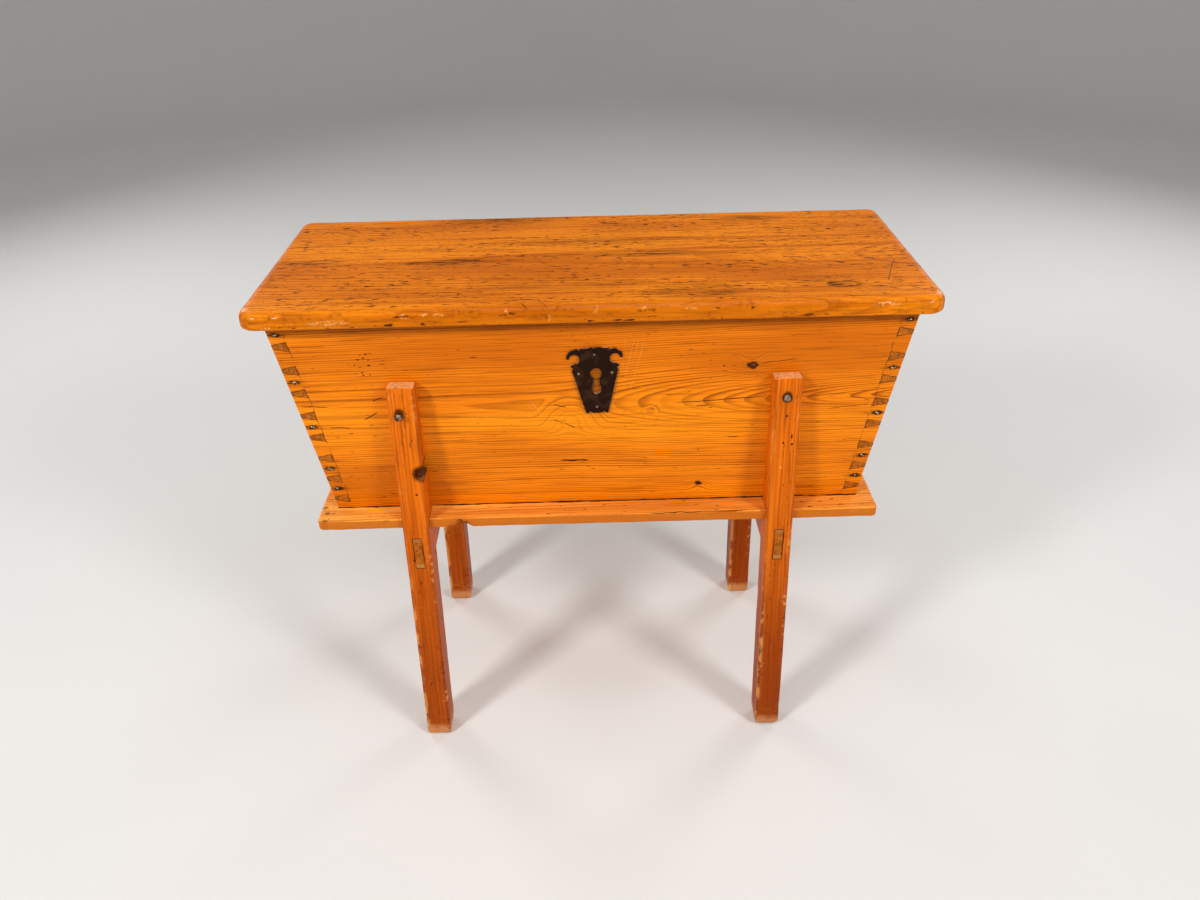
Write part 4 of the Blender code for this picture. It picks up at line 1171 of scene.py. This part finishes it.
class DOUGHBOX_OT_base_board(bpy.types.Operator):
    """Make the base board with its leg cut-outs and broken chip"""
    bl_idname = "doughbox.base_board"
    bl_label = "Base board"

    def execute(self, context):
        corner = 0.009
        inner = (0.006, 0.022, 0.060, 0.120, 0.165)
        profile = board_profile(LOWER_ARRIS, LOWER_ARRIS, BASE_HIGH.z - BASE_LOW.z, 4)
        mesh = lofted_board(BASE_LOW, BASE_HIGH, corner, corner, profile, inner, 220, 70)
        layer = wear_layer(mesh)
        press_in(mesh, lambda vertex: vertex[layer] * self.knock(vertex.co))
        cutters = [leg_slab(BASE_LOW.z - 0.01, BASE_HIGH.z + 0.01, side, facing, 0.05)
                   for side, facing in PLACES.values()]
        mesh = carve(mesh, cutters + self.breaks())
        show("base_board_worn", mesh, "base", ["base_board"])
        return {"FINISHED"}

    def knock(self, point):
        """How far a fully worn edge is knocked in at a point."""
        return 0.00055 * (wander(point, 45.0, 7.0) + 0.3) + 0.0003 * wander(point, 150.0, 9.0)

    def breaks(self):
        """The three parts of the chip beside the front left leg, and two nicks in the front edge."""
        chip = ((0.0, 0.0, 1.0, 11.0), (-0.017, -0.003, 0.55, 23.0), (0.016, -0.005, 0.5, 29.0))
        nicks = ((0.120, (0.009, 0.0030, 0.0022), 17.0), (0.352, (0.006, 0.0026, 0.0020), 19.0))
        balls = []
        for across, up, reach, seed in chip:
            place = CHIP_PLACE + Vector((across, 0.0, up))
            balls.append(rough_ball(place, (0.0150 * reach, 0.012 * reach, 0.0140 * reach), seed, 0.50))
        for x, size, seed in nicks:
            balls.append(rough_ball((x, BASE_LOW.y, BASE_HIGH.z), size, seed))
        return balls


def leg_ring(z, side, facing, inset, radii):
    """A loop round a leg at one height, as (point, wear) pairs, with its four arrises rounded."""
    half = LEG_WIDTH / 2 - inset
    inner = leg_inside(z) + inset
    outer = leg_outside(z) - inset
    centre = side * leg_centre(z)
    corners = ((half, inner, 1, -1), (half, outer, 1, 1), (-half, outer, -1, 1), (-half, inner, -1, -1))
    steps = 4
    arcs = []
    for number, (x, y, right, out) in enumerate(corners):
        radius = radii[number]
        middle = (x - right * radius, y - out * radius)
        angles = [0.5 * math.pi * (number - 1 + step / steps) for step in range(steps + 1)]
        arcs.append([(middle[0] + radius * math.cos(angle), middle[1] + radius * math.sin(angle))
                     for angle in angles])
    ring = []
    for number, arc in enumerate(arcs):
        ring += [(point, 1.0) for point in arc]
        first, last = arc[-1], arcs[(number + 1) % 4][0]
        for part, wear in ((0.08, 0.55), (0.20, 0.12), (0.40, 0.0), (0.60, 0.0), (0.80, 0.12), (0.92, 0.55)):
            point = (first[0] + (last[0] - first[0]) * part, first[1] + (last[1] - first[1]) * part)
            ring.append((point, wear))
    return [(Vector((centre + x, facing * y, z)), wear) for (x, y), wear in ring]


def knocks(place):
    """Places where a leg's edges were knocked: (edge, height, half length, share of the depth)."""
    seed = 1.0 + 7.3 * list(PLACES).index(place)
    found = []
    for number in range(26):
        spin = abs(math.sin(12.9898 * (number + seed)) * 43758.5453) % 1.0
        rise = abs(math.sin(78.233 * (number + seed)) * 12543.123) % 1.0
        reach = abs(math.sin(39.425 * (number + seed)) * 9871.37) % 1.0
        found.append((int(spin * 4), rise * LEG_TOP, 0.003 + 0.010 * reach * reach, 0.3 + 0.7 * reach))
    return found


class DOUGHBOX_OT_legs(bpy.types.Operator):
    """Make the four raked legs with knocked edges, mortises and the broken notch"""
    bl_idname = "doughbox.legs"
    bl_label = "Legs"

    def execute(self, context):
        sizes = context.scene.dough_box.sizes
        for place, (side, facing) in PLACES.items():
            mesh = self.post(place, side, facing, sizes)
            cutters = [self.mortise(place, facing)]
            if place == "front_left":
                cutters.append(self.notch(facing))
            show(place + "_leg_worn", carve(mesh, cutters), "leg", [place + "_leg"])
        return {"FINISHED"}

    def levels(self, place):
        """Heights up a leg, each with its inset: a rounded foot, the shaft and an eased top."""
        foot = 0.0098 if place == "front_right" else 0.0060
        foot_height = 1.5 * foot
        foot_steps, shaft_steps = 6, 150
        rows = []
        for step in range(foot_steps + 1):
            angle = 0.5 * math.pi * step / foot_steps
            rows.append((foot_height * (1 - math.cos(angle)), foot * (1 - math.sin(angle))))
        shaft = sorted([LEG_TOP * step / shaft_steps for step in range(1, shaft_steps)] + [BASE_TOP])
        rows += [(z, 0.0) for z in shaft if foot_height + 0.002 < z < LEG_TOP - 0.004]
        rows += [(LEG_TOP - 0.0022, 0.0), (LEG_TOP - 0.0006, 0.0008), (LEG_TOP, 0.0022)]
        return rows

    def arrises(self, z, inset, side, facing, hits, sizes):
        """Rounding of a leg's four long edges at one height, larger where an edge was knocked."""
        largest = 0.006
        radii = []
        for number in range(4):
            radius = sizes.leg_arris * (1.0 + 0.45 * wander((number * 3.1, side + facing * 2.0, z), 14.0))
            for edge, height, reach, share in hits:
                if edge == number:
                    radius += sizes.knock_depth * share * math.exp(-((z - height) / reach) ** 2)
            radii.append(min(largest, radius) + 0.4 * inset)
        return radii

    def post(self, place, side, facing, sizes):
        """The leg before its mortise is cut, most worn on its lower edges and at its ends."""
        wear_top, wear_fade = 0.46, 0.16
        hits = knocks(place)
        mesh = bmesh.new()
        layer = wear_layer(mesh)
        rings = []
        wears = []
        for z, inset in self.levels(place):
            ring = leg_ring(z, side, facing, inset, self.arrises(z, inset, side, facing, hits, sizes))
            low_down = 0.30 + 0.70 * max(0.0, min(1.0, (wear_top - z) / wear_fade))
            rings.append([point for point, wear in ring])
            wears.append([max(wear * low_down, min(1.0, inset / 0.0012)) for point, wear in ring])
        for row, marks in zip(loft(mesh, rings), wears):
            for vertex, wear in zip(row, marks):
                vertex[layer] = wear
        bmesh.ops.recalc_face_normals(mesh, faces=mesh.faces)
        press_in(mesh, lambda vertex: self.unevenness(vertex.co))
        return mesh

    def unevenness(self, point):
        """How far the planed faces dip at a point, away from the leg's two ends."""
        if not 0.002 < point.z < LEG_TOP - 0.004:
            return 0.0
        return 0.00020 * (wander(point, 24.0, 3.0) + 0.6) + 0.00012 * wander(point, 90.0, 5.0)

    def mortise(self, place, facing):
        """The tapered hole that the tenon and its two wedges fill."""
        upper_low, upper_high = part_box(place + "_upper_wedge")
        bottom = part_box(place + "_lower_wedge")[0].z
        x = (upper_low.x + upper_high.x) / 2
        half = (upper_high.x - upper_low.x) / 2 + CLEARANCE
        middle = (upper_high.z + bottom) / 2
        outer_half = (upper_high.z - bottom) / 2 + CLEARANCE
        inside = facing * (leg_outside(middle) - LEG_DEPTH - 0.006)
        outside = facing * (leg_outside(middle) + 0.004)
        rings = []
        for y, reach in ((inside, outer_half - MORTISE_TAPER), (outside, outer_half)):
            rings.append([(x - half, y, middle - reach), (x + half, y, middle - reach),
                          (x + half, y, middle + reach), (x - half, y, middle + reach)])
        return lofted(rings)

    def notch(self, facing):
        """A ragged hole broken out through the leg's inner edge."""
        x, height = NOTCH_PLACE
        radius, points, steps = 0.0112, 40, 12
        rings = []
        for step in range(steps + 1):
            y = leg_outside(height) + 0.012 - 0.060 * step / steps
            ring = []
            for number in range(points):
                angle = 2 * math.pi * number / points
                cos, sin = math.cos(angle), math.sin(angle)
                grow = radius * (1.0 + 0.11 * wander((cos, sin, y * 60.0), 1.6, 4.0)
                                 + 0.06 * wander((cos, sin, y * 90.0), 5.0, 8.0))
                ring.append((x + grow * cos, facing * y, height + grow * sin))
            rings.append(ring)
        return lofted(rings)


class DOUGHBOX_OT_cross_rails(bpy.types.Operator):
    """Make the two cross rails with their through tenons"""
    bl_idname = "doughbox.cross_rails"
    bl_label = "Cross rails"

    def execute(self, context):
        for hand in HANDS:
            node = hand + "_cross_rail"
            mesh = solid_copy(node)
            soften(mesh, RAIL_ARRIS)
            show(node + "_worn", mesh, "rail", [node], 30.0)
        return {"FINISHED"}


class DOUGHBOX_OT_wedges(bpy.types.Operator):
    """Make the wedges above and below each tenon"""
    bl_idname = "doughbox.wedges"
    bl_label = "Wedges"

    def execute(self, context):
        for place in PLACES:
            for level in ("upper", "lower"):
                node = "%s_%s_wedge" % (place, level)
                mesh = solid_copy(node)
                soften(mesh, WEDGE_ARRIS)
                show(node + "_split", mesh, "wedge", [node], 30.0)
        return {"FINISHED"}


def plate_point(x, drop, out):
    """A point on the lock plate: along X, down from its top edge, out from the board."""
    top = RIM - PLATE_BELOW_RIM
    cos, sin = math.cos(FRONT_ANGLE), math.sin(FRONT_ANGLE)
    lift = out + CLEARANCE
    from_middle = drop - PLATE_HEIGHT / 2
    across = x * math.cos(PLATE_TILT) + from_middle * math.sin(PLATE_TILT)
    down = PLATE_HEIGHT / 2 + from_middle * math.cos(PLATE_TILT) - x * math.sin(PLATE_TILT)
    y = -half_depth(top) + down * sin - lift * cos
    return Vector((PLATE_OFFSET + across, y, top - down * cos - lift * sin))


def plate_outline():
    """The whole outline of the lock plate as (x, drop) points."""
    foot, shoulder, shoulder_drop, tip = PLATE_HEIGHT, 0.0330, 0.0380, 0.0160
    hook, hook_half, hook_drop = 0.0074, 0.0289, 0.0176
    half = [(0.0, foot - 0.0008), (tip * 0.34, foot - 0.0004), (tip * 0.56, foot - 0.0022),
            (tip * 0.63, foot - 0.0032), (tip * 0.70, foot - 0.0020), (tip * 0.84, foot),
            (tip, foot - 0.0006)]
    for step in range(1, 8):
        part = step / 8
        half.append((tip + (shoulder - tip) * part + 0.0004 * math.sin(part * math.pi * 2),
                     foot - 0.0006 + (shoulder_drop - foot + 0.0006) * part))
    half += [(shoulder, shoulder_drop), (shoulder + 0.0001, shoulder_drop - 0.0028),
             (shoulder - 0.0013, shoulder_drop - 0.0052)]
    barb = hook_drop + hook * 1.5
    half += [(shoulder + 0.0022, barb), (shoulder + 0.0006, barb - 0.0020)]
    for step in range(27):
        angle = math.radians(-78 - 282 * step / 26)
        half.append((hook_half + hook * math.cos(angle), hook_drop - hook * math.sin(angle)))
    for step in range(17):
        part = step / 16
        angle = math.radians(4 + 108 * part)
        radius = hook + 0.0034 + 0.0058 * part
        half.append((hook_half + radius * math.cos(angle), hook_drop - radius * math.sin(angle)))
    half += [(shoulder * 0.655, 0.0042), (shoulder * 0.60, 0.0), (0.0, 0.0)]
    return half + [(-x, drop) for x, drop in reversed(half[1:-1])]


def keyhole_outline():
    """Two rounds joined by a narrow waist, filed a little unevenly."""
    centre, half_waist, steps = 0.0009, 0.0042, 28
    loop = []
    for radius, drop, stretch, start in ((0.0080, 0.0415, 1.0, -0.5), (0.0064, 0.0668, 1.38, 0.5)):
        spread = math.asin(half_waist / radius)
        for step in range(steps + 1):
            angle = start * math.pi + spread + (2 * math.pi - 2 * spread) * step / steps
            reach = radius * (1.0 + 0.035 * math.sin(3.0 * angle + drop * 400.0))
            loop.append((centre + reach * math.cos(angle), drop - stretch * reach * math.sin(angle)))
    return loop


class DOUGHBOX_OT_lock_plate(bpy.types.Operator):
    """Make the horned iron lock plate with its keyhole and filed edges"""
    bl_idname = "doughbox.lock_plate"
    bl_label = "Lock plate"

    def execute(self, context):
        hole = self.slab(keyhole_outline(), -0.002, 0.005)
        mesh = carve(self.slab(plate_outline(), 0.0, PLATE_THICKNESS), [hole])
        bmesh.ops.recalc_face_normals(mesh, faces=mesh.faces)
        rim = [edge for edge in mesh.edges if edge.calc_face_angle(0.0) > 1.0
               and max(face.normal.dot(FRONT_OUTWARD) for face in edge.link_faces) > 0.99]
        bevel(mesh, rim, PLATE_ARRIS, 2)
        layer = mesh.loops.layers.float.new("wear")
        for face in mesh.faces:
            for corner in face.loops:
                corner[layer] = 0.0 if face.normal.dot(FRONT_OUTWARD) > 0.999 else 1.0
        show("lock_plate_forged", mesh, "plate", ["lock_plate"], 25.0)
        return {"FINISHED"}

    def slab(self, outline, low, high):
        """A flat body with an outline on the plate, from low to high above the board."""
        return lofted([[plate_point(x, drop, out) for x, drop in outline] for out in (low, high)])


def aim(mesh, centre, outward):
    """Turn a mesh that was made along +Z so that it faces outward at its place."""
    turn = Vector(outward).to_track_quat("Z", "Y").to_matrix().to_4x4()
    bmesh.ops.transform(mesh, matrix=Matrix.Translation(Vector(centre)) @ turn, verts=mesh.verts)


def lathe(profile, sides, seed=0.0, waver=0.0):
    """A round body from (radius, height) pairs, closed at both ends."""
    rings = []
    for radius, height in profile:
        ring = []
        for number in range(sides):
            angle = 2 * math.pi * number / sides
            cos, sin = math.cos(angle), math.sin(angle)
            grow = radius * (1.0 + waver * wander((cos, sin, height * 100.0), 1.5, seed))
            ring.append((grow * cos, grow * sin, height))
        rings.append(ring)
    return lofted(rings)


def bar_cutter(length, width, low, high, turn):
    """A box that files a screwdriver slot across a head."""
    mesh = bmesh.new()
    bmesh.ops.create_cube(mesh, size=1.0)
    size = Matrix.Diagonal((length, width, high - low, 1.0))
    spin = Matrix.Rotation(turn, 4, "Z")
    place = Matrix.Translation((0.0, 0.0, (low + high) / 2))
    bmesh.ops.transform(mesh, matrix=place @ spin @ size, verts=mesh.verts)
    return mesh


def crown_rub_and_glint(mesh, most=1.0, reach=0.0025):
    """Mark every point by how far it stands out, so that the highest parts are bright, as wear and as a
    painted glint.
    """
    layer = wear_layer(mesh)
    top = max(vertex.co.z for vertex in mesh.verts)
    for vertex in mesh.verts:
        vertex[layer] = max(0.0, min(1.0, 1.0 - (top - vertex.co.z) / reach)) * most


def cut_nail(seed, width, height, rise):
    """A hand-cut nail: a hammered oblong head on a short tapered shank."""
    profile = ((0.26, -0.0080), (0.42, -0.0012), (1.0, -0.0008), (1.0, rise * 0.2),
               (0.78, rise), (0.50, rise), (0.22, rise))
    sides = 20
    rings = []
    for share, level in profile:
        ring = []
        for number in range(sides):
            angle = 2 * math.pi * number / sides
            cos, sin = math.cos(angle), math.sin(angle)
            square = 1.0 / (abs(cos) ** 5 + abs(sin) ** 5) ** 0.2
            grow = share * square * (1.0 + 0.22 * wander((cos, sin, 0.0), 1.7, seed))
            dent = 0.00018 * wander((cos, sin, level), 2.0, seed + 3)
            ring.append((grow * cos * width / 2, grow * sin * height / 2, level + dent))
        rings.append(ring)
    return lofted(rings)


class DOUGHBOX_OT_corner_nails(bpy.types.Operator):
    """Make the cut nails through the front corners' tails"""
    bl_idname = "doughbox.corner_nails"
    bl_label = "Corner nails"

    def execute(self, context):
        for hand, first_seed in zip(HANDS, (10.0, 20.0)):
            for number in range(1, CORNER_NAILS + 1):
                node = "front_%s_corner_nail_%d" % (hand, number)
                centre = node_centre(node)
                seed = number + first_seed
                wide = 0.5 + 0.5 * math.sin(2.7 * seed)
                mesh = cut_nail(seed, 0.0058 + 0.0022 * wide, 0.0030 - 0.0008 * wide, 0.0004)
                # Patchy bright wear on each head: painted glints.
                layer = wear_layer(mesh)
                for vertex in mesh.verts:
                    vertex[layer] = max(0.0, min(1.0, 0.60 + 2.2 * wander(vertex.co, 420.0, seed)))
                turn = Matrix.Rotation(0.35 * math.sin(5.1 * seed), 3, "Z")
                bmesh.ops.rotate(mesh, matrix=turn, verts=mesh.verts)
                aim(mesh, (centre.x, -half_depth(centre.z) + 0.0002, centre.z), (0.0, -1.0, 0.0))
                show(node + "_forged", mesh, "nail", [node])
        return {"FINISHED"}


class DOUGHBOX_OT_base_nails(bpy.types.Operator):
    """Make the nails that hold the base board from below"""
    bl_idname = "doughbox.base_nails"
    bl_label = "Base nails"

    def execute(self, context):
        for row, first_seed in (("front", 30.0), ("rear", 40.0)):
            for number in range(1, BASE_NAILS + 1):
                node = "%s_base_nail_%d" % (row, number)
                centre = node_centre(node)
                mesh = cut_nail(number + first_seed, 0.0058, 0.0050, 0.0005)
                crown_rub_and_glint(mesh)
                aim(mesh, (centre.x, centre.y, BASE_LOW.z), (0.0, 0.0, -1.0))
                show(node + "_forged", mesh, "screw", [node])
        return {"FINISHED"}


class DOUGHBOX_OT_plate_nails(bpy.types.Operator):
    """Make the domed nails of the lock plate"""
    bl_idname = "doughbox.plate_nails"
    bl_label = "Lock plate nails"

    def execute(self, context):
        profile = ((0.0013, -0.0075), (0.0014, -0.0002), (0.0027, 0.0), (0.0027, 0.0004),
                   (0.0024, 0.0010), (0.0017, 0.0014), (0.0008, 0.00155))
        nails = (("top", 0.0, 0.0097), ("left", -0.0238, 0.0403), ("right", 0.0238, 0.0403),
                 ("foot", 0.0, 0.0977))
        for number, (place, x, drop) in enumerate(nails):
            node = "lock_plate_nail_" + place
            mesh = lathe(profile, 24, 50.0 + number, 0.10)
            # A painted glint on each nail's crown.
            crown_rub_and_glint(mesh, 0.38, 0.0004)
            aim(mesh, plate_point(x, drop, PLATE_THICKNESS), FRONT_OUTWARD)
            show(node + "_forged", mesh, "nail", [node])
        return {"FINISHED"}


class DOUGHBOX_OT_leg_screws(bpy.types.Operator):
    """Make the slotted round-head screws of the legs"""
    bl_idname = "doughbox.leg_screws"
    bl_label = "Leg screws"

    def execute(self, context):
        head_rise = 0.0036
        profile = ((0.0028, -0.0300), (0.0030, -0.0001), (0.0059, 0.0), (0.0060, 0.0008),
                   (0.0057, 0.0018), (0.0048, 0.0027), (0.0034, 0.0033), (0.0016, head_rise))
        for number, (place, (_, facing)) in enumerate(PLACES.items()):
            node = place + "_leg_screw"
            low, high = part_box(node)
            head = (low.y if facing < 0 else high.y) - facing * head_rise
            slot = bar_cutter(0.020, 0.0012, 0.0021, 0.0080, 0.5 + 0.9 * number)
            mesh = carve(lathe(profile, 32, 60.0 + number, 0.04), [slot])
            # A bright crown on each head: worn metal and a painted glint.
            crown_rub_and_glint(mesh, 0.50, 0.0022)
            aim(mesh, ((low.x + high.x) / 2, head, (low.z + high.z) / 2), (0.0, facing, 0.0))
            show(node + "_worn", mesh, "screw", [node], 35.0)
        return {"FINISHED"}


class DOUGHBOX_OT_hinges(bpy.types.Operator):
    """Make the leaves and pins of the two butt hinges"""
    bl_idname = "doughbox.hinges"
    bl_label = "Hinges"

    def execute(self, context):
        slight_wear = 0.12
        for hand in HANDS:
            for part in ("box_leaf", "lid_leaf", "pin"):
                node = "%s_hinge_%s" % (hand, part)
                mesh = solid_copy(node)
                if part != "pin":
                    soften(mesh, HINGE_ARRIS, 1, 0.9, 1.0e-5)
                layer = wear_layer(mesh)
                for vertex in mesh.verts:
                    vertex[layer] = slight_wear
                show(node + "_forged", mesh, "hinge", [node], 35.0)
        return {"FINISHED"}


class DOUGHBOX_OT_hinge_screws(bpy.types.Operator):
    """Make the slotted flat-head screws of the hinges"""
    bl_idname = "doughbox.hinge_screws"
    bl_label = "Hinge screws"

    def execute(self, context):
        profile = ((0.0009, -0.0120), (0.0016, -0.0021), (0.0033, -0.0002), (0.0032, 0.0))
        directions = {"lid": Vector((0.0, 0.0, -1.0)), "box": BACK_OUTWARD}
        turn = 0.3
        for hand in HANDS:
            for part, outward in directions.items():
                for number in (1, 2):
                    node = "%s_hinge_%s_screw_%d" % (hand, part, number)
                    turn += 0.8
                    slot = bar_cutter(0.012, 0.0008, -0.0008, 0.004, turn)
                    mesh = carve(lathe(profile, 24), [slot])
                    crown_rub_and_glint(mesh)
                    aim(mesh, self.head_centre(node, outward), outward)
                    show(node + "_worn", mesh, "screw", [node], 35.0)
        return {"FINISHED"}

    def head_centre(self, node, outward):
        """Middle of the outermost face of a screw's solid."""
        points = [vertex.co for vertex in frame["nodes"][node].data.vertices]
        reach = max(point.dot(outward) for point in points)
        rim = [point for point in points if point.dot(outward) > reach - 1e-5]
        return sum(rim, Vector()) / len(rim)


class DOUGHBOX_OT_stage(bpy.types.Operator):
    """Make the plain floor, the lamps and the camera"""
    bl_idname = "doughbox.stage"
    bl_label = "Stage"

    def execute(self, context):
        settings = context.scene.dough_box.stage
        self.floor(settings)
        lamps = (("key_lamp", (-2.1, -2.2, 2.5), 0.7, settings.key),
                 ("fill_lamp", (2.1, -2.2, 2.4), 0.9, settings.fill),
                 ("top_lamp", (0.2, -0.4, 3.1), 1.8, settings.top),
                 ("left_back_lamp", (-2.3, 2.1, 1.9), 1.4, settings.back),
                 ("right_back_lamp", (2.3, 2.1, 1.9), 1.4, settings.back))
        for name, place, size, power in lamps:
            self.lamp(name, place, size, power)
        world = bpy.data.worlds.new("studio")
        world.use_nodes = True
        backdrop = world.node_tree.nodes["Background"]
        backdrop.inputs["Color"].default_value = (1.0, 0.985, 0.96, 1.0)
        backdrop.inputs["Strength"].default_value = settings.sky
        context.scene.world = world
        context.scene.view_settings.view_transform = "Standard"
        self.camera(context)
        return {"FINISHED"}

    def floor(self, settings):
        """A wide round plain floor with a curved rise far away on every side."""
        paint = Paint("plain_floor", Specular_IOR_Level=0.2)
        cloud = paint.haze(paint.split(paint.point), 1.1, 3.0)
        colour = paint.blend(cloud, rgba(settings.floor), rgba(settings.floor, 0.96))
        material = paint.finish(colour, 0.62 + 0.1 * cloud)
        flat, curve, wall, sides = 5.0, 2.0, 5.0, 96
        section = [(1.0, 0.0), (2.5, 0.0), (flat, 0.0)]
        for step in range(1, 11):
            angle = math.radians(9 * step)
            section.append((flat + curve * math.sin(angle), curve - curve * math.cos(angle)))
        section.append((flat + curve, wall))
        turns = [2 * math.pi * step / sides for step in range(sides)]
        mesh = bmesh.new()
        rows = [[mesh.verts.new((away * math.cos(turn), away * math.sin(turn), height)) for turn in turns]
                for away, height in section]
        mesh.faces.new(rows[0])
        for inner, outer in zip(rows, rows[1:]):
            for index in range(sides):
                after = (index + 1) % sides
                mesh.faces.new((inner[index], outer[index], outer[after], inner[after]))
        item = placed("floor", mesh)
        item.data.shade_smooth()
        item.data.materials.append(material)

    def lamp(self, name, place, size, power):
        """A soft round lamp that looks at the middle of the box."""
        data = bpy.data.lights.new(name, "AREA")
        data.shape = "DISK"
        data.size = size
        data.energy = power
        item = bpy.data.objects.new(name, data)
        item.location = place
        aimed = Vector((0.0, 0.0, 0.5)) - Vector(place)
        item.rotation_euler = aimed.to_track_quat("-Z", "Y").to_euler()
        item.visible_camera = False
        bpy.context.scene.collection.objects.link(item)

    def camera(self, context):
        """The camera at the photograph's height and tilt."""
        data = bpy.data.cameras.new("camera")
        data.sensor_width = 36.0
        data.lens = CAMERA_LENS
        item = bpy.data.objects.new("camera", data)
        turn = Matrix.Rotation(math.radians(-CAMERA_YAW), 4, "Z")
        turn = turn @ Matrix.Rotation(math.radians(-CAMERA_PITCH), 4, "X")
        turn = turn @ Matrix.Rotation(math.radians(CAMERA_ROLL), 4, "Y")
        turn = turn @ Matrix.Rotation(math.radians(90.0), 4, "X")
        item.matrix_world = Matrix.Translation(CAMERA_PLACE) @ turn
        bpy.context.scene.collection.objects.link(item)
        context.scene.camera = item


class DoughBoxSettings(bpy.types.PropertyGroup):
    """Everything that a user of the add-on would change."""

    colours: PointerProperty(
        type=FinishColours, name="Colours", description="Colours of the woods and the iron")
    sizes: PointerProperty(type=FinishSizes, name="Sizes", description="Edges, grain and wear")
    stage: PointerProperty(type=StageSettings, name="Stage", description="Floor and lamps")


PIECES = (
    DOUGHBOX_OT_lid, DOUGHBOX_OT_box_boards, DOUGHBOX_OT_base_board, DOUGHBOX_OT_legs,
    DOUGHBOX_OT_cross_rails, DOUGHBOX_OT_wedges, DOUGHBOX_OT_lock_plate, DOUGHBOX_OT_plate_nails,
    DOUGHBOX_OT_corner_nails, DOUGHBOX_OT_base_nails, DOUGHBOX_OT_leg_screws, DOUGHBOX_OT_hinges,
    DOUGHBOX_OT_hinge_screws, DOUGHBOX_OT_stage)


class DOUGHBOX_PT_sidebar(bpy.types.Panel):
    """Lists the pieces and the values that can be changed"""
    bl_idname = "DOUGHBOX_PT_sidebar"
    bl_label = "Dough Box"
    bl_space_type = "VIEW_3D"
    bl_region_type = "UI"
    bl_category = "Dough Box"

    def draw(self, context):
        settings = context.scene.dough_box
        for operator in PIECES:
            self.layout.operator(operator.bl_idname, text=operator.bl_label)
        for group in (settings.colours, settings.sizes, settings.stage):
            column = self.layout.column()
            for name in group.__annotations__:
                column.prop(group, name)


CLASSES = (FinishColours, FinishSizes, StageSettings, DoughBoxSettings) + PIECES + (DOUGHBOX_PT_sidebar,)


def register():
    for item in CLASSES:
        bpy.utils.register_class(item)
    bpy.types.Scene.dough_box = PointerProperty(type=DoughBoxSettings)


def unregister():
    del bpy.types.Scene.dough_box
    for item in reversed(CLASSES):
        bpy.utils.unregister_class(item)


def main():
    """Make every piece."""
    register()
    for operator in PIECES:
        group, name = operator.bl_idname.split(".")
        getattr(getattr(bpy.ops, group), name)()
    bpy.context.view_layer.update()


if __name__ == "__main__":
    main()
